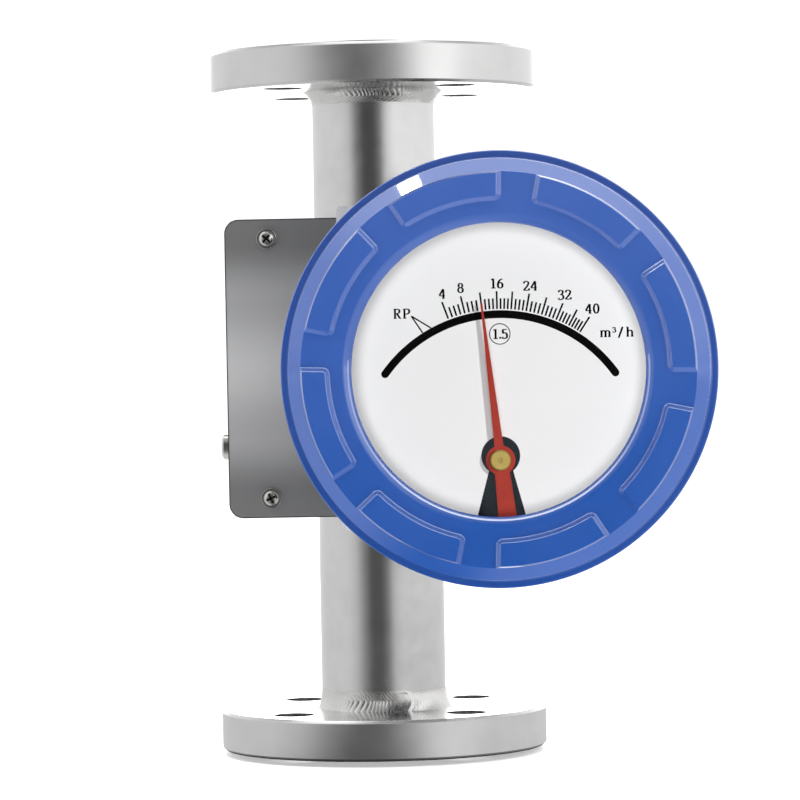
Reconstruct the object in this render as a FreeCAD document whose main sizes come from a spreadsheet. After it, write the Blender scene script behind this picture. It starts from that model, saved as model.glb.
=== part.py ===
import FreeCAD, Part
import math
import os
import re
import Sketcher
from FreeCAD import Placement, Rotation, Vector

# Metal-tube rotameter, DN25, with a round magnetic indicator head, in millimetres.
# Frame of the whole: Z runs up the pipe axis from the lower sealing face, the dial looks along -Y.
# Head pieces are drawn in a frame of their own: across to the right, up, and forward to the reader,
# with forward counted from the pipe axis; turning that frame by 90 degrees about X puts it in place.

SIZES = {
    # measuring tube with its two plate flanges
    "overallLength": 250,
    "tubeOuter": 44,
    "tubeWall": 3,
    "tubeInset": 3,
    "flangeOuter": 115,
    "flangeRim": 14,
    "flangeBevel": 1,
    "faceOuter": 68,
    "faceHigh": 2,
    "boltCircle": 85,
    "boltHole": 14,
    "boltCount": 4,
    "beadLeg": 4.6,
    "beadHigh": 6,
    # float, metering cone and guides
    "floatUp": 99.4,
    "floatEdge": 30,
    "floatRadius": 13.6,
    "stemRadius": 4,
    "stemLow": 81.8,
    "stemTop": 75.6,
    "chamberRadius": 10,
    "chamberHalf": 12,
    "magnetRadius": 7.2,
    "magnetHalf": 8,
    "coneLow": 50,
    "coneTop": 112,
    "coneThroat": 14,
    "coneMouth": 18,
    "guideHigh": 6,
    "guideGap": 0.1,
    "guideHub": 7,
    "guideRing": 16.6,
    "guideArm": 3,
    "guideArms": 3,
    "upperGuide": 148,
    "clipThick": 1.4,
    "clipDeep": 1.2,
    "clipInner": 16.8,
    "clipGap": 7,
    # casing round the tube, front plate and their fasteners
    "casingHalf": 50,
    "casingBack": 30,
    "casingFront": 26,
    "casingLow": 85.2,
    "casingTop": 188.4,
    "casingWall": 2,
    "casingLip": 20,
    "casingRound": 4,
    "casingBead": 2,
    "plateUp": 136.8,
    "plateWide": 103,
    "plateTall": 104.2,
    "plateThick": 2,
    "plateRound": 5,
    "screwSide": 36.7,
    "screwRise": 45.2,
    "screwNear": 19,
    "screwShank": 2.5,
    "screwHead": 4.6,
    "washerRadius": 5.6,
    "washerThick": 1,
    "nutFlats": 8,
    "nutHigh": 4,
    "earthDeep": 15,
    "earthUp": 109.6,
    "earthReach": 54.6,
    # adapter plate and housing
    "headAcross": 44.2,
    "headUp": 135.4,
    "adapterWide": 112.4,
    "adapterTall": 112.6,
    "adapterRise": 1,
    "adapterThick": 5,
    "adapterCorner": 20,
    "housingBack": 33,
    "housingFloor": 38,
    "housingFoot": 56,
    "housingWaist": 62,
    "housingShoulder": 69.5,
    "shoulderFront": 66,
    "collarRadius": 63.6,
    "collarInner": 57.5,
    "collarFront": 80,
    "cavityFloor": 54.5,
    "entryForward": 47.5,
    "entryRadius": 9.25,
    "entryBoss": 13.5,
    "entryReach": 68,
    "plugCorner": 12.7,
    "plugHigh": 4.5,
    "housingScrew": 28.3,
    # screw-on cover with its window
    "coverBack": 66.3,
    "coverBore": 64,
    "ledgeRadius": 73.5,
    "ledgeFront": 77,
    "ledgeRound": 0.5,
    "ledgeNeck": 1.1,
    "coverRadius": 70.4,
    "bevelBack": 85.5,
    "bevelRound": 0.5,
    "bevelInner": 66,
    "coverFront": 90,
    "lipOuter": 51.7,
    "lipRound": 0.5,
    "windowRadius": 49,
    "glassRadius": 54.3,
    "glassBack": 79.2,
    "glassFront": 85.2,
    "glassSeat": 86,
    "skirtBack": 74.2,
    "skirtOuter": 57.1,
    "coverInside": 81.2,
    "ringGrooveInner": 66.2,
    "ringGrooveOuter": 69,
    "ringGrooveDeep": 2.4,
    "ringSection": 1.3,
    "retainerInner": 50.4,
    "retainerBack": 75.4,
    "lugCount": 8,
    "lugFirst": 29.4,
    "lugSpan": 34.6,
    "lugInner": 56.2,
    "lugOuter": 68.5,
    "lugHigh": 1.8,
    "lugSlope": 38,
    "lugCorner": 2.2,
    "lugCrown": 65.4,
    # dial, chassis and pointer
    "chassisBack": 57,
    "chassisFront": 59,
    "chassisRadius": 55,
    "bossCircle": 44,
    "bossRadius": 4.5,
    "pillarCircle": 51.4,
    "pillarRadius": 2.6,
    "dialBack": 71,
    "dialFront": 72,
    "dialRadius": 55,
    "pivotDrop": 30.5,
    "slotEye": 6.55,
    "slotEyeRise": 1.4,
    "slotNeck": 3.9,
    "slotFoot": 8.9,
    "slotReach": 21.5,
    "printThick": 0.1,
    "arcRadius": 47.65,
    "arcWide": 2.65,
    "arcFirst": -52.3,
    "arcLast": 55.1,
    "tickInner": 49.6,
    "tickMinor": 52.9,
    "tickMajor": 55.3,
    "tickWide": 0.45,
    "pointerBack": 74.2,
    "pointerThick": 0.8,
    "pointerTip": 53,
    "pointerTail": 20,
    "pointerRest": -6,
    "hubRing": 4.95,
    "capRadius": 3.45,
    "shaftRadius": 1.25,
    "shaftBack": 39.6,
    "shaftFront": 76,
    "bushGap": 0.05,
    "bushRadius": 3,
    "bridgeHalf": 16,
    "bridgeFoot": 22,
    "bridgeDeep": 6.5,
    "bridgeBack": 40,
    "sheetThick": 1.5,
    "followerRadius": 10,
    "followerBack": 44.5,
    "followerFront": 51,
    # electronics behind the chassis
    "boardBack": 43,
    "boardThick": 1.6,
    "boardHalf": 26,
    "boardLow": -2,
    "boardTop": 34,
    "terminalHalf": 15,
    "terminalUp": 16,
    "terminalDeep": 5.5,
    "terminalHigh": 9,
    "terminalCount": 4,
}

# dial angles of the ten figured marks, clockwise from upright, as the meter was calibrated
MAJOR_MARKS = [-19.9, -13.1, -6.3, -0.4, 5.1, 11, 17.2, 23.2, 28.6, 33.6]
MARK_STEPS = 4
WORD = re.compile(r"[A-Za-z]\w*")

doc = FreeCAD.newDocument("rotameter")
sheet = doc.addObject("Spreadsheet::Sheet", "sizes")
for row, (alias, value) in enumerate(SIZES.items(), start=1):
    sheet.set(f"A{row}", alias)
    sheet.set(f"B{row}", str(value))
    sheet.setAlias(f"B{row}", alias)
doc.recompute()


# ---- helpers -------------------------------------------------------------------------------

def formula(text):
    """Write a formula on the sheet's names as an expression of the document."""
    return WORD.sub(lambda hit: f"sizes.{hit[0]}" if hit[0] in SIZES else hit[0], str(text))


def bind(thing, path, text):
    thing.setExpression(path, formula(text))


def place(thing, frame, forward=0):
    """Put a piece in the pipe's frame, or turn it to face the reader in one of the head's frames."""
    spots = {
        "pipe": None,
        "plate": ("0", "plateUp"),
        "head": ("headAcross", "headUp"),
        "pivot": ("headAcross", "headUp - pivotDrop"),
        "print": ("headAcross", "headUp - pivotDrop + slotEyeRise"),
    }
    if spots[frame] is None:
        return
    across, up = spots[frame]
    thing.Placement = Placement(Vector(), Rotation(Vector(1, 0, 0), 90))
    bind(thing, ".Placement.Base.x", across)
    bind(thing, ".Placement.Base.y", f"-({forward})")
    bind(thing, ".Placement.Base.z", up)


def start_body(label, frame="pipe", several=False):
    body = doc.addObject("PartDesign::Body", label)
    body.Label = label
    body.AllowCompound = several
    place(body, frame)
    return body


def origin_part(body, role):
    return next(item for item in body.Origin.OriginFeatures if item.Role == role)


def start_sketch(body, plane="XY_Plane", right=0, up=0, lift=0):
    sketch = body.newObject("Sketcher::SketchObject", "sketch")
    sketch.AttachmentSupport = [(origin_part(body, plane), "")]
    sketch.MapMode = "FlatFace"
    for axis, shift in (("x", right), ("y", up), ("z", lift)):
        if shift != 0:
            bind(sketch, f".AttachmentOffset.Base.{axis}", shift)
    return sketch


def fix(sketch, kind, first, point, text):
    """Tie a point's distance from the sketch's origin, or a circle's radius, to a formula."""
    if kind == "Radius":
        index = sketch.addConstraint(Sketcher.Constraint(kind, first, 1.0))
    else:
        index = sketch.addConstraint(Sketcher.Constraint(kind, -1, 1, first, point, 1.0))
    bind(sketch, f"Constraints[{index}]", text)


def draw_outline(sketch, corners):
    """Draw a closed outline of straight lines through corners given as (right, up) formulas."""
    first = sketch.GeometryCount
    count = len(corners)
    loop = [Vector(math.cos(2 * math.pi * i / count), math.sin(2 * math.pi * i / count), 0)
            for i in range(count)]
    for i in range(count):
        sketch.addGeometry(Part.LineSegment(loop[i], loop[(i + 1) % count]), False)
    for i in range(count):
        sketch.addConstraint(Sketcher.Constraint("Coincident", first + i, 2, first + (i + 1) % count, 1))
    for i, (right, up) in enumerate(corners):
        fix(sketch, "DistanceX", first + i, 1, right)
        fix(sketch, "DistanceY", first + i, 1, up)


def draw_box(sketch, left, right, low, top):
    draw_outline(sketch, [(left, low), (right, low), (right, top), (left, top)])


def draw_circle(sketch, right, up, radius):
    index = sketch.addGeometry(Part.Circle(Vector(0, 0, 0), Vector(0, 0, 1), 1), False)
    fix(sketch, "DistanceX", index, 3, right)
    fix(sketch, "DistanceY", index, 3, up)
    fix(sketch, "Radius", index, None, radius)


def turn(body, corners, at=(0, 0), cut=False, axis="V_Axis"):
    """Turn an outline of (radius, height) about its own axis; at is where that axis stands."""
    sketch = start_sketch(body, "XZ_Plane", right=at[0], lift=f"-({at[1]})" if at[1] != 0 else 0)
    draw_outline(sketch, corners)
    feature = body.newObject("PartDesign::Groove" if cut else "PartDesign::Revolution", "turned")
    feature.Profile = sketch
    feature.ReferenceAxis = (sketch, [axis])
    feature.Angle = 360
    return feature


def pad(body, sketch, height, slope=None, both=False):
    feature = body.newObject("PartDesign::Pad", "pad")
    feature.Profile = sketch
    bind(feature, "Length", height)
    if slope is not None:
        bind(feature, "TaperAngle", slope)
    if both:
        feature.SideType = "Symmetric"
    return feature


def pocket(body, sketch, depth, both=False):
    """Cut from the sketch back against its normal."""
    feature = body.newObject("PartDesign::Pocket", "pocket")
    feature.Profile = sketch
    bind(feature, "Length", depth)
    if both:
        feature.SideType = "Symmetric"
    return feature


def polar(body, feature, count):
    pattern = body.newObject("PartDesign::PolarPattern", "pattern")
    pattern.Originals = [feature]
    pattern.Axis = (origin_part(body, "Z_Axis"), [""])
    pattern.Angle = 360
    bind(pattern, "Occurrences", count)
    body.Tip = pattern
    return pattern


def dress(body, kind, size, wanted):
    """Round (Fillet) or bevel (Chamfer) the edges of the body's tip that wanted() picks."""
    doc.recompute()
    base = body.Tip
    names = [f"Edge{i}" for i, edge in enumerate(base.Shape.Edges, start=1) if wanted(edge)]
    if not names:
        raise RuntimeError(f"{body.Label}: no edge to dress")
    feature = body.newObject(f"PartDesign::{kind}", kind.lower())
    feature.Base = (base, names)
    bind(feature, "Size" if kind == "Chamfer" else "Radius", size)
    return feature


def ring_at(radius, height):
    """Pick full circles of one radius and height."""
    def wanted(edge):
        curve = edge.Curve
        return (isinstance(curve, Part.Circle) and abs(curve.Radius - radius) < 1e-4
                and abs(curve.Center.z - height) < 1e-4)
    return wanted


def upright(reach):
    """Pick the straight edges along the body's Z that stand further out than reach."""
    def wanted(edge):
        if not isinstance(edge.Curve, Part.Line):
            return False
        low, top = (vertex.Point for vertex in edge.Vertexes)
        return math.hypot(low.x - top.x, low.y - top.y) < 1e-4 and math.hypot(low.x, low.y) > reach
    return wanted


def around(circle, angles):
    """Spots on a circle, at angles in degrees from the right, as formulas."""
    return [(f"{circle} * cos({angle} deg)", f"{circle} * sin({angle} deg)") for angle in angles]


def corners_of(side, rise):
    return [(f"{i} * ({side})", f"{j} * ({rise})") for j in (-1, 1) for i in (-1, 1)]


def cap_screw(head, shank, seat, high, tip, drive):
    """Outline of a pan-head screw: its head stands on seat and its shank ends at tip."""
    return [(0, tip), (f"{shank} * 0.7", tip), (shank, f"{tip} + {shank} * 0.3"), (shank, seat),
            (head, seat), (head, f"{seat} + {high} * 0.55"), (f"{head} * 0.72", f"{seat} + {high}"),
            (f"{drive}", f"{seat} + {high}"), (f"{drive} * 0.6", f"{seat} + {high} * 0.45"),
            (0, f"{seat} + {high} * 0.35")]


def screws(label, frame, outline, spots):
    """A set of like screws, each a solid of its own."""
    body = start_body(label, frame, several=True)
    for spot in spots:
        turn(body, outline, at=spot)
    return body


# ---- measuring tube, flanges and welds --------------------------------------------------------

def make_tube():
    body = start_body("measuring_tube")
    inner = "tubeOuter / 2 - tubeWall"
    turn(body, [(inner, "tubeInset"), ("tubeOuter / 2", "tubeInset"),
                ("tubeOuter / 2", "overallLength - tubeInset"), (inner, "overallLength - tubeInset")])
    sketch = start_sketch(body, "XZ_Plane")
    for low in CLIP_LOWS:
        draw_box(sketch, f"{inner} - 1", f"{inner} + clipDeep", low, f"{low} + clipThick")
    grooves = body.newObject("PartDesign::Groove", "clip_grooves")
    grooves.Profile = sketch
    grooves.ReferenceAxis = (sketch, ["V_Axis"])
    grooves.Angle = 360


def stand_on_end(body):
    """Turn a lower-end piece over so that it closes the upper end."""
    body.Placement = Placement(Vector(), Rotation(Vector(1, 0, 0), 180))
    bind(body, ".Placement.Base.z", "overallLength")


def make_flange(label, upper):
    body = start_body(label)
    top = "faceHigh + flangeRim"
    turn(body, [("tubeOuter / 2", 0), ("faceOuter / 2", 0), ("faceOuter / 2", "faceHigh"),
                ("flangeOuter / 2", "faceHigh"), ("flangeOuter / 2", top), ("tubeOuter / 2", top)])
    dress(body, "Chamfer", "flangeBevel",
          lambda edge: ring_at(SIZES["flangeOuter"] / 2, SIZES["faceHigh"])(edge)
          or ring_at(SIZES["flangeOuter"] / 2, SIZES["faceHigh"] + SIZES["flangeRim"])(edge))
    sketch = start_sketch(body, lift=f"{top} + 1")
    draw_circle(sketch, "boltCircle / 2 * sqrt(0.5)", "boltCircle / 2 * sqrt(0.5)", "boltHole / 2")
    polar(body, pocket(body, sketch, f"{top} + 2"), "boltCount")
    if upper:
        stand_on_end(body)


def make_welds(label, upper):
    """The bead behind the flange and the one inside its bore, on the tube's end."""
    body = start_body(label, several=True)
    outer = "tubeOuter / 2"
    top = "faceHigh + flangeRim"
    turn(body, [(outer, top), (f"{outer} + beadLeg", top), (f"{outer} + beadLeg * 0.86", f"{top} + beadHigh * 0.3"),
                (f"{outer} + beadLeg * 0.5", f"{top} + beadHigh * 0.72"), (outer, f"{top} + beadHigh")])
    turn(body, [(f"{outer} - tubeWall", "tubeInset"), (outer, "tubeInset * 0.2"), (outer, "tubeInset")])
    if upper:
        stand_on_end(body)


# ---- inside the tube ------------------------------------------------------------------------

CLIP_LOWS = ["(coneLow - guideHigh - clipThick)", "coneTop", "(upperGuide - clipThick)",
             "(upperGuide + guideHigh)"]


def make_retaining_rings():
    """Four open snap rings, each with two eared ends, sprung into the tube's grooves."""
    body = start_body("retaining_rings", several=True)
    outer = "tubeOuter / 2 - tubeWall"
    for low in CLIP_LOWS:
        turn(body, [("clipInner", low), (f"{outer} + clipDeep", low),
                    (f"{outer} + clipDeep", f"{low} + clipThick"), ("clipInner", f"{low} + clipThick")])
        sketch = start_sketch(body, lift=low)
        draw_box(sketch, "clipInner - 3", "clipInner + 1", "-clipGap", "clipGap")
        pad(body, sketch, "clipThick")
    sketch = start_sketch(body, lift="overallLength")
    draw_box(sketch, 0, "tubeOuter", "-clipGap / 2", "clipGap / 2")
    pocket(body, sketch, "overallLength")


def make_guide(label, low):
    body = start_body(label, several=True)
    top = f"{low} + guideHigh"
    for inner, outer in (("stemRadius + guideGap", "guideHub"), ("guideRing", "tubeOuter / 2 - tubeWall")):
        turn(body, [(inner, low), (outer, low), (outer, top), (inner, top)])
    sketch = start_sketch(body, lift=low)
    draw_box(sketch, "guideHub - 0.6", "guideRing + 0.6", "-guideArm / 2", "guideArm / 2")
    polar(body, pad(body, sketch, "guideHigh"), "guideArms")


def make_cone():
    body = start_body("metering_cone")
    outer = "tubeOuter / 2 - tubeWall"
    turn(body, [("coneThroat", "coneLow"), (outer, "coneLow"), (outer, "coneTop"), ("coneMouth", "coneTop")])


def make_float():
    """Stem, sharp-edged head and magnet chamber in one turning, its magnet, and the cap that closes it."""
    body = start_body("float_body")
    bind(body, ".Placement.Base.z", "floatUp")
    turn(body, [(0, "-stemLow"), ("stemRadius * 0.7", "-stemLow"), ("stemRadius", "-stemLow + stemRadius * 0.3"),
                ("stemRadius", "-floatEdge - 3"), ("floatRadius - 0.4", "-floatEdge - 0.8"),
                ("floatRadius", "-floatEdge"), ("floatRadius - 1", "-floatEdge + 1"),
                ("stemRadius + 2.5", "-floatEdge + 9"), ("stemRadius + 2.5", "-chamberHalf - 3"),
                ("chamberRadius", "-chamberHalf"), ("chamberRadius", "chamberHalf"),
                ("magnetRadius", "chamberHalf"), ("magnetRadius", "-magnetHalf"), (0, "-magnetHalf")])
    magnet = doc.addObject("Part::Cylinder", "float_magnet")
    magnet.Label = "float_magnet"
    bind(magnet, "Radius", "magnetRadius")
    bind(magnet, "Height", "magnetHalf * 2")
    bind(magnet, ".Placement.Base.z", "floatUp - magnetHalf")
    cap = start_body("float_cap")
    bind(cap, ".Placement.Base.z", "floatUp")
    turn(cap, [(0, "magnetHalf"), ("magnetRadius", "magnetHalf"), ("magnetRadius", "chamberHalf"),
               ("chamberRadius", "chamberHalf"), ("chamberRadius", "chamberHalf + 2"),
               ("stemRadius", "chamberHalf + 8"), ("stemRadius", "stemTop - stemRadius * 0.3"),
               ("stemRadius * 0.7", "stemTop"), (0, "stemTop")])


# ---- casing and front plate -------------------------------------------------------------------

def make_casing():
    """Folded box round the tube: open window in front with a lip all round it, holes for the tube."""
    body = start_body("tube_casing")
    sketch = start_sketch(body, lift="casingLow")
    draw_box(sketch, "-casingHalf", "casingHalf", "-casingFront", "casingBack")
    pad(body, sketch, "casingTop - casingLow")
    dress(body, "Fillet", "casingRound", upright(50))
    sketch = start_sketch(body, lift="casingTop - casingWall")
    draw_box(sketch, "-casingHalf + casingWall", "casingHalf - casingWall",
             "-casingFront + casingWall", "casingBack - casingWall")
    pocket(body, sketch, "casingTop - casingLow - 2 * casingWall")
    sketch = start_sketch(body, "XZ_Plane", lift="casingFront + 1")
    draw_box(sketch, "-casingHalf + casingLip", "casingHalf - casingLip",
             "casingLow + casingLip", "casingTop - casingLip")
    pocket(body, sketch, "casingWall + 1.5")
    sketch = start_sketch(body, lift="casingTop + 1")
    draw_circle(sketch, 0, 0, "tubeOuter / 2")
    pocket(body, sketch, "casingTop - casingLow + 2")
    sketch = start_sketch(body, "XZ_Plane", lift="casingFront + 1")
    for side, rise in plate_spots():
        draw_circle(sketch, side, f"plateUp + {rise}", "screwShank")
    pocket(body, sketch, "casingWall + 1.5")
    sketch = start_sketch(body, "YZ_Plane", lift="-casingHalf + casingWall + 1")
    draw_circle(sketch, "-earthDeep", "earthUp", "screwShank")
    pocket(body, sketch, "casingWall + 2")


def plate_spots():
    """Two screws on the open side of the plate and four under the adapter, about the plate's centre."""
    sides = ("-screwSide", "screwNear", "screwSide")
    return [(side, f"{sign} * screwRise") for side in sides for sign in (-1, 1)]


def make_casing_welds():
    body = start_body("casing_welds", several=True)
    outer = "tubeOuter / 2"
    low = "casingLow + casingWall"
    top = "casingTop - casingWall"
    turn(body, [(outer, low), (f"{outer} + casingBead", low), (outer, f"{low} + casingBead")])
    turn(body, [(outer, f"{top} - casingBead"), (f"{outer} + casingBead", top), (outer, top)])


def make_front_plate():
    body = start_body("front_plate", "plate")
    sketch = start_sketch(body, lift="casingFront")
    draw_box(sketch, "-plateWide / 2", "plateWide / 2", "-plateTall / 2", "plateTall / 2")
    pad(body, sketch, "plateThick")
    dress(body, "Fillet", "plateRound", upright(50))
    sketch = start_sketch(body, lift="casingFront + plateThick + 1")
    for side, rise in plate_spots():
        draw_circle(sketch, side, rise, "screwShank + 0.2")
    pocket(body, sketch, "plateThick + 2")


def make_plate_fasteners():
    front = "casingFront + plateThick"
    left = plate_spots()[:2]
    seat = f"{front} + washerThick"
    screws("plate_screws", "plate",
           cap_screw("screwHead", "screwShank", seat, "2.9", "casingFront - 7", "1.9"), left)
    screws("plate_washers", "plate",
           [("screwShank + 0.2", front), ("washerRadius", front), ("washerRadius", seat),
            ("screwShank + 0.2", seat)], left)
    nuts = start_body("weld_nuts", "plate", several=True)
    for spot in plate_spots():
        make_nut(nuts, spot, "casingFront - casingWall - nutHigh")
    screws("adapter_screws", "plate",
           [(0, "casingFront - 7"), ("screwShank", "casingFront - 7"), ("screwShank", f"{front} + 2.2"),
            ("screwHead + 0.4", f"{front} + adapterThick - 0.3"), ("screwHead + 0.4", f"{front} + adapterThick"),
            (1.9, f"{front} + adapterThick"), (1.1, f"{front} + adapterThick - 2"),
            (0, f"{front} + adapterThick - 2.4")], plate_spots()[2:])


def make_nut(body, spot, low):
    """Hexagon nut standing on low, with the screw's hole through it."""
    sketch = start_sketch(body, right=spot[0], up=spot[1], lift=low)
    draw_outline(sketch, around("(nutFlats / sqrt(3))", range(0, 360, 60)))
    draw_circle(sketch, 0, 0, "screwShank")
    pad(body, sketch, "nutHigh")


def make_earth_screw():
    """Earthing screw through the casing's left wall, with its washer and inner nut."""
    reach = [("earthReach", "earth_screw"), ("casingHalf + washerThick", "earth_washer")]
    outlines = {
        "earth_screw": [("-earthReach", 0), ("-earthReach", "screwHead * 0.8"), ("-earthReach + 0.7", "screwHead"),
                        ("-casingHalf - washerThick", "screwHead"), ("-casingHalf - washerThick", "screwShank"),
                        ("-casingHalf + 9", "screwShank"), ("-casingHalf + 9", 0)],
        "earth_washer": [("-casingHalf - washerThick", "screwShank + 0.1"), ("-casingHalf - washerThick", "washerRadius"),
                         ("-casingHalf", "washerRadius"), ("-casingHalf", "screwShank + 0.1")],
    }
    for _, label in reach:
        body = start_body(label)
        bind(body, ".Placement.Base.y", "-earthDeep")
        bind(body, ".Placement.Base.z", "earthUp")
        turn(body, outlines[label], axis="H_Axis")
    nut = start_body("earth_nut")
    nut.Placement = Placement(Vector(), Rotation(Vector(0, 1, 0), 90))
    for axis, text in (("x", "-casingHalf + casingWall"), ("y", "-earthDeep"), ("z", "earthUp")):
        bind(nut, f".Placement.Base.{axis}", text)
    make_nut(nut, (0, 0), 0)


# ---- adapter plate and housing ----------------------------------------------------------------

def make_adapter():
    """Square plate under the housing, its right corners cut back behind the cover."""
    body = start_body("adapter_plate", "head")
    left, right = "-adapterWide / 2", "adapterWide / 2"
    low, top = "adapterRise - adapterTall / 2", "adapterRise + adapterTall / 2"
    sketch = start_sketch(body, lift="casingFront + plateThick")
    draw_outline(sketch, [(left, low), (f"{right} - adapterCorner", low), (right, f"{low} + adapterCorner"),
                          (right, f"{top} - adapterCorner"), (f"{right} - adapterCorner", top), (left, top)])
    pad(body, sketch, "adapterThick")
    dress(body, "Fillet", "2", upright(77))
    front = "casingFront + plateThick"
    for side, rise in plate_spots()[2:]:
        turn(body, [(0, f"{front} - 1"), ("screwShank", f"{front} - 1"), ("screwShank", f"{front} + 2.2"),
                    ("screwHead + 0.4", f"{front} + adapterThick - 0.3"),
                    ("screwHead + 0.4", f"{front} + adapterThick + 1"), (0, f"{front} + adapterThick + 1")],
             at=(f"{side} - headAcross", f"plateUp - headUp + {rise}"), cut=True)
    sketch = start_sketch(body, lift=f"{front} + adapterThick + 1")
    for right, up in corners_of("housingScrew", "housingScrew"):
        draw_circle(sketch, right, up, "screwShank")
    pocket(body, sketch, "adapterThick + 2")


BOSS_ANGLES = (90, 210, 330)
PILLAR_ANGLES = (90, 200, 340)


def make_housing():
    """Cast cup with a flared shoulder and a collar for the cover, two cable entries, bosses inside."""
    body = start_body("housing", "head")
    turn(body, [(0, "housingBack"), ("housingFoot", "housingBack"), ("housingFoot + 2", "housingBack + 2"),
                ("housingWaist", "shoulderFront - 10"), ("housingShoulder", "shoulderFront - 5"),
                ("housingShoulder", "shoulderFront"), ("collarRadius", "shoulderFront"),
                ("collarRadius", "collarFront - 1"), ("collarRadius - 1", "collarFront"), (0, "collarFront")])
    dress(body, "Fillet", "4", ring_at(SIZES["housingWaist"], SIZES["shoulderFront"] - 10))
    dress(body, "Fillet", "1.5", ring_at(SIZES["housingShoulder"], SIZES["shoulderFront"] - 5))
    sketch = start_sketch(body, "YZ_Plane")
    draw_circle(sketch, 0, "entryForward", "entryBoss")
    pad(body, sketch, "entryReach * 2", both=True)
    turn(body, [(0, "housingFloor"), ("cavityFloor", "housingFloor"), ("cavityFloor + 2", "housingFloor + 8"),
                ("collarInner", "shoulderFront - 6"), ("collarInner", "collarFront + 1"), (0, "collarFront + 1")],
         cut=True)
    sketch = start_sketch(body, lift="housingFloor - 1")
    for right, up in around("bossCircle", BOSS_ANGLES):
        draw_circle(sketch, right, up, "bossRadius")
    pad(body, sketch, "chassisBack - housingFloor + 1")
    sketch = start_sketch(body, "YZ_Plane")
    draw_circle(sketch, 0, "entryForward", "entryRadius")
    pocket(body, sketch, "entryReach * 2 + 4", both=True)
    sketch = start_sketch(body, lift="housingFloor + 1")
    for right, up in corners_of("housingScrew", "housingScrew"):
        draw_circle(sketch, right, up, "screwShank + 0.25")
    pocket(body, sketch, "housingFloor - housingBack + 2")
    sketch = start_sketch(body, lift="chassisBack")
    for right, up in around("bossCircle", BOSS_ANGLES):
        draw_circle(sketch, right, up, 2)
    pocket(body, sketch, 9)


def make_housing_fasteners():
    screws("housing_screws", "head",
           cap_screw("screwHead", "screwShank", "housingFloor", "4.4", "housingBack - adapterThick + 0.4", "2.4"),
           corners_of("housingScrew", "housingScrew"))
    make_entry_plug()


def face_left(body):
    """Stand a turned piece on the left cable entry's axis, its heights counted from the head's axis."""
    body.Placement = Placement(Vector(), Rotation(Vector(0, 1, 0), -90))
    for axis, text in (("x", "headAcross"), ("y", "-entryForward"), ("z", "headUp")):
        bind(body, f".Placement.Base.{axis}", text)


def make_entry_plug():
    """Hexagon-headed stopping plug in the left cable entry, on a flat seal."""
    plug = start_body("entry_plug")
    face_left(plug)
    seat = "entryReach + 1"
    turn(plug, [(0, "entryReach - 12"), ("entryRadius - 1", "entryReach - 12"), ("entryRadius", "entryReach - 11"),
                ("entryRadius", seat), (0, seat)])
    sketch = start_sketch(plug, lift=seat)
    draw_outline(sketch, around("plugCorner", range(0, 360, 60)))
    pad(plug, sketch, "plugHigh")
    turn(plug, [("plugCorner - 1.4", f"{seat} + plugHigh"), ("plugCorner + 1", f"{seat} + plugHigh - 1.4"),
                ("plugCorner + 1", f"{seat} + plugHigh + 1"), ("plugCorner - 1.4", f"{seat} + plugHigh + 1")],
         cut=True)
    seal = start_body("entry_seal")
    face_left(seal)
    turn(seal, [("entryRadius + 0.2", "entryReach"), ("entryBoss - 1.3", "entryReach"),
                ("entryBoss - 1.3", seat), ("entryRadius + 0.2", seat)])


# ---- cover ------------------------------------------------------------------------------------

def draw_lug(sketch):
    """Ring sector about the head's axis: two arcs joined by two radial lines."""
    middle = 90 - SIZES["lugFirst"]
    angles = [math.radians(middle - SIZES["lugSpan"] / 2), math.radians(middle + SIZES["lugSpan"] / 2)]
    radii = [SIZES["lugInner"], SIZES["lugOuter"]]
    arcs = []
    for radius in radii:
        circle = Part.Circle(Vector(0, 0, 0), Vector(0, 0, 1), radius)
        arcs.append(sketch.addGeometry(Part.ArcOfCircle(circle, *angles), False))
    lines = []
    for angle in angles:
        ray = Vector(math.cos(angle), math.sin(angle), 0)
        lines.append(sketch.addGeometry(Part.LineSegment(ray * radii[0], ray * radii[1]), False))
    for end, line in ((1, lines[0]), (2, lines[1])):
        sketch.addConstraint(Sketcher.Constraint("Coincident", line, 1, arcs[0], end))
        sketch.addConstraint(Sketcher.Constraint("Coincident", line, 2, arcs[1], end))
        sketch.addConstraint(Sketcher.Constraint("PointOnObject", -1, 1, line))
    for arc, name in zip(arcs, ("lugInner", "lugOuter")):
        sketch.addConstraint(Sketcher.Constraint("Coincident", arc, 3, -1, 1))
        index = sketch.addConstraint(Sketcher.Constraint("Radius", arc, SIZES[name]))
        bind(sketch, f"Constraints[{index}]", name)
    for line, angle, sign in zip(lines, angles, ("-", "+")):
        index = sketch.addConstraint(Sketcher.Constraint("Angle", line, angle))
        bind(sketch, f"Constraints[{index}]", f"(90 - lugFirst {sign} lugSpan / 2) * 1 deg")


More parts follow.
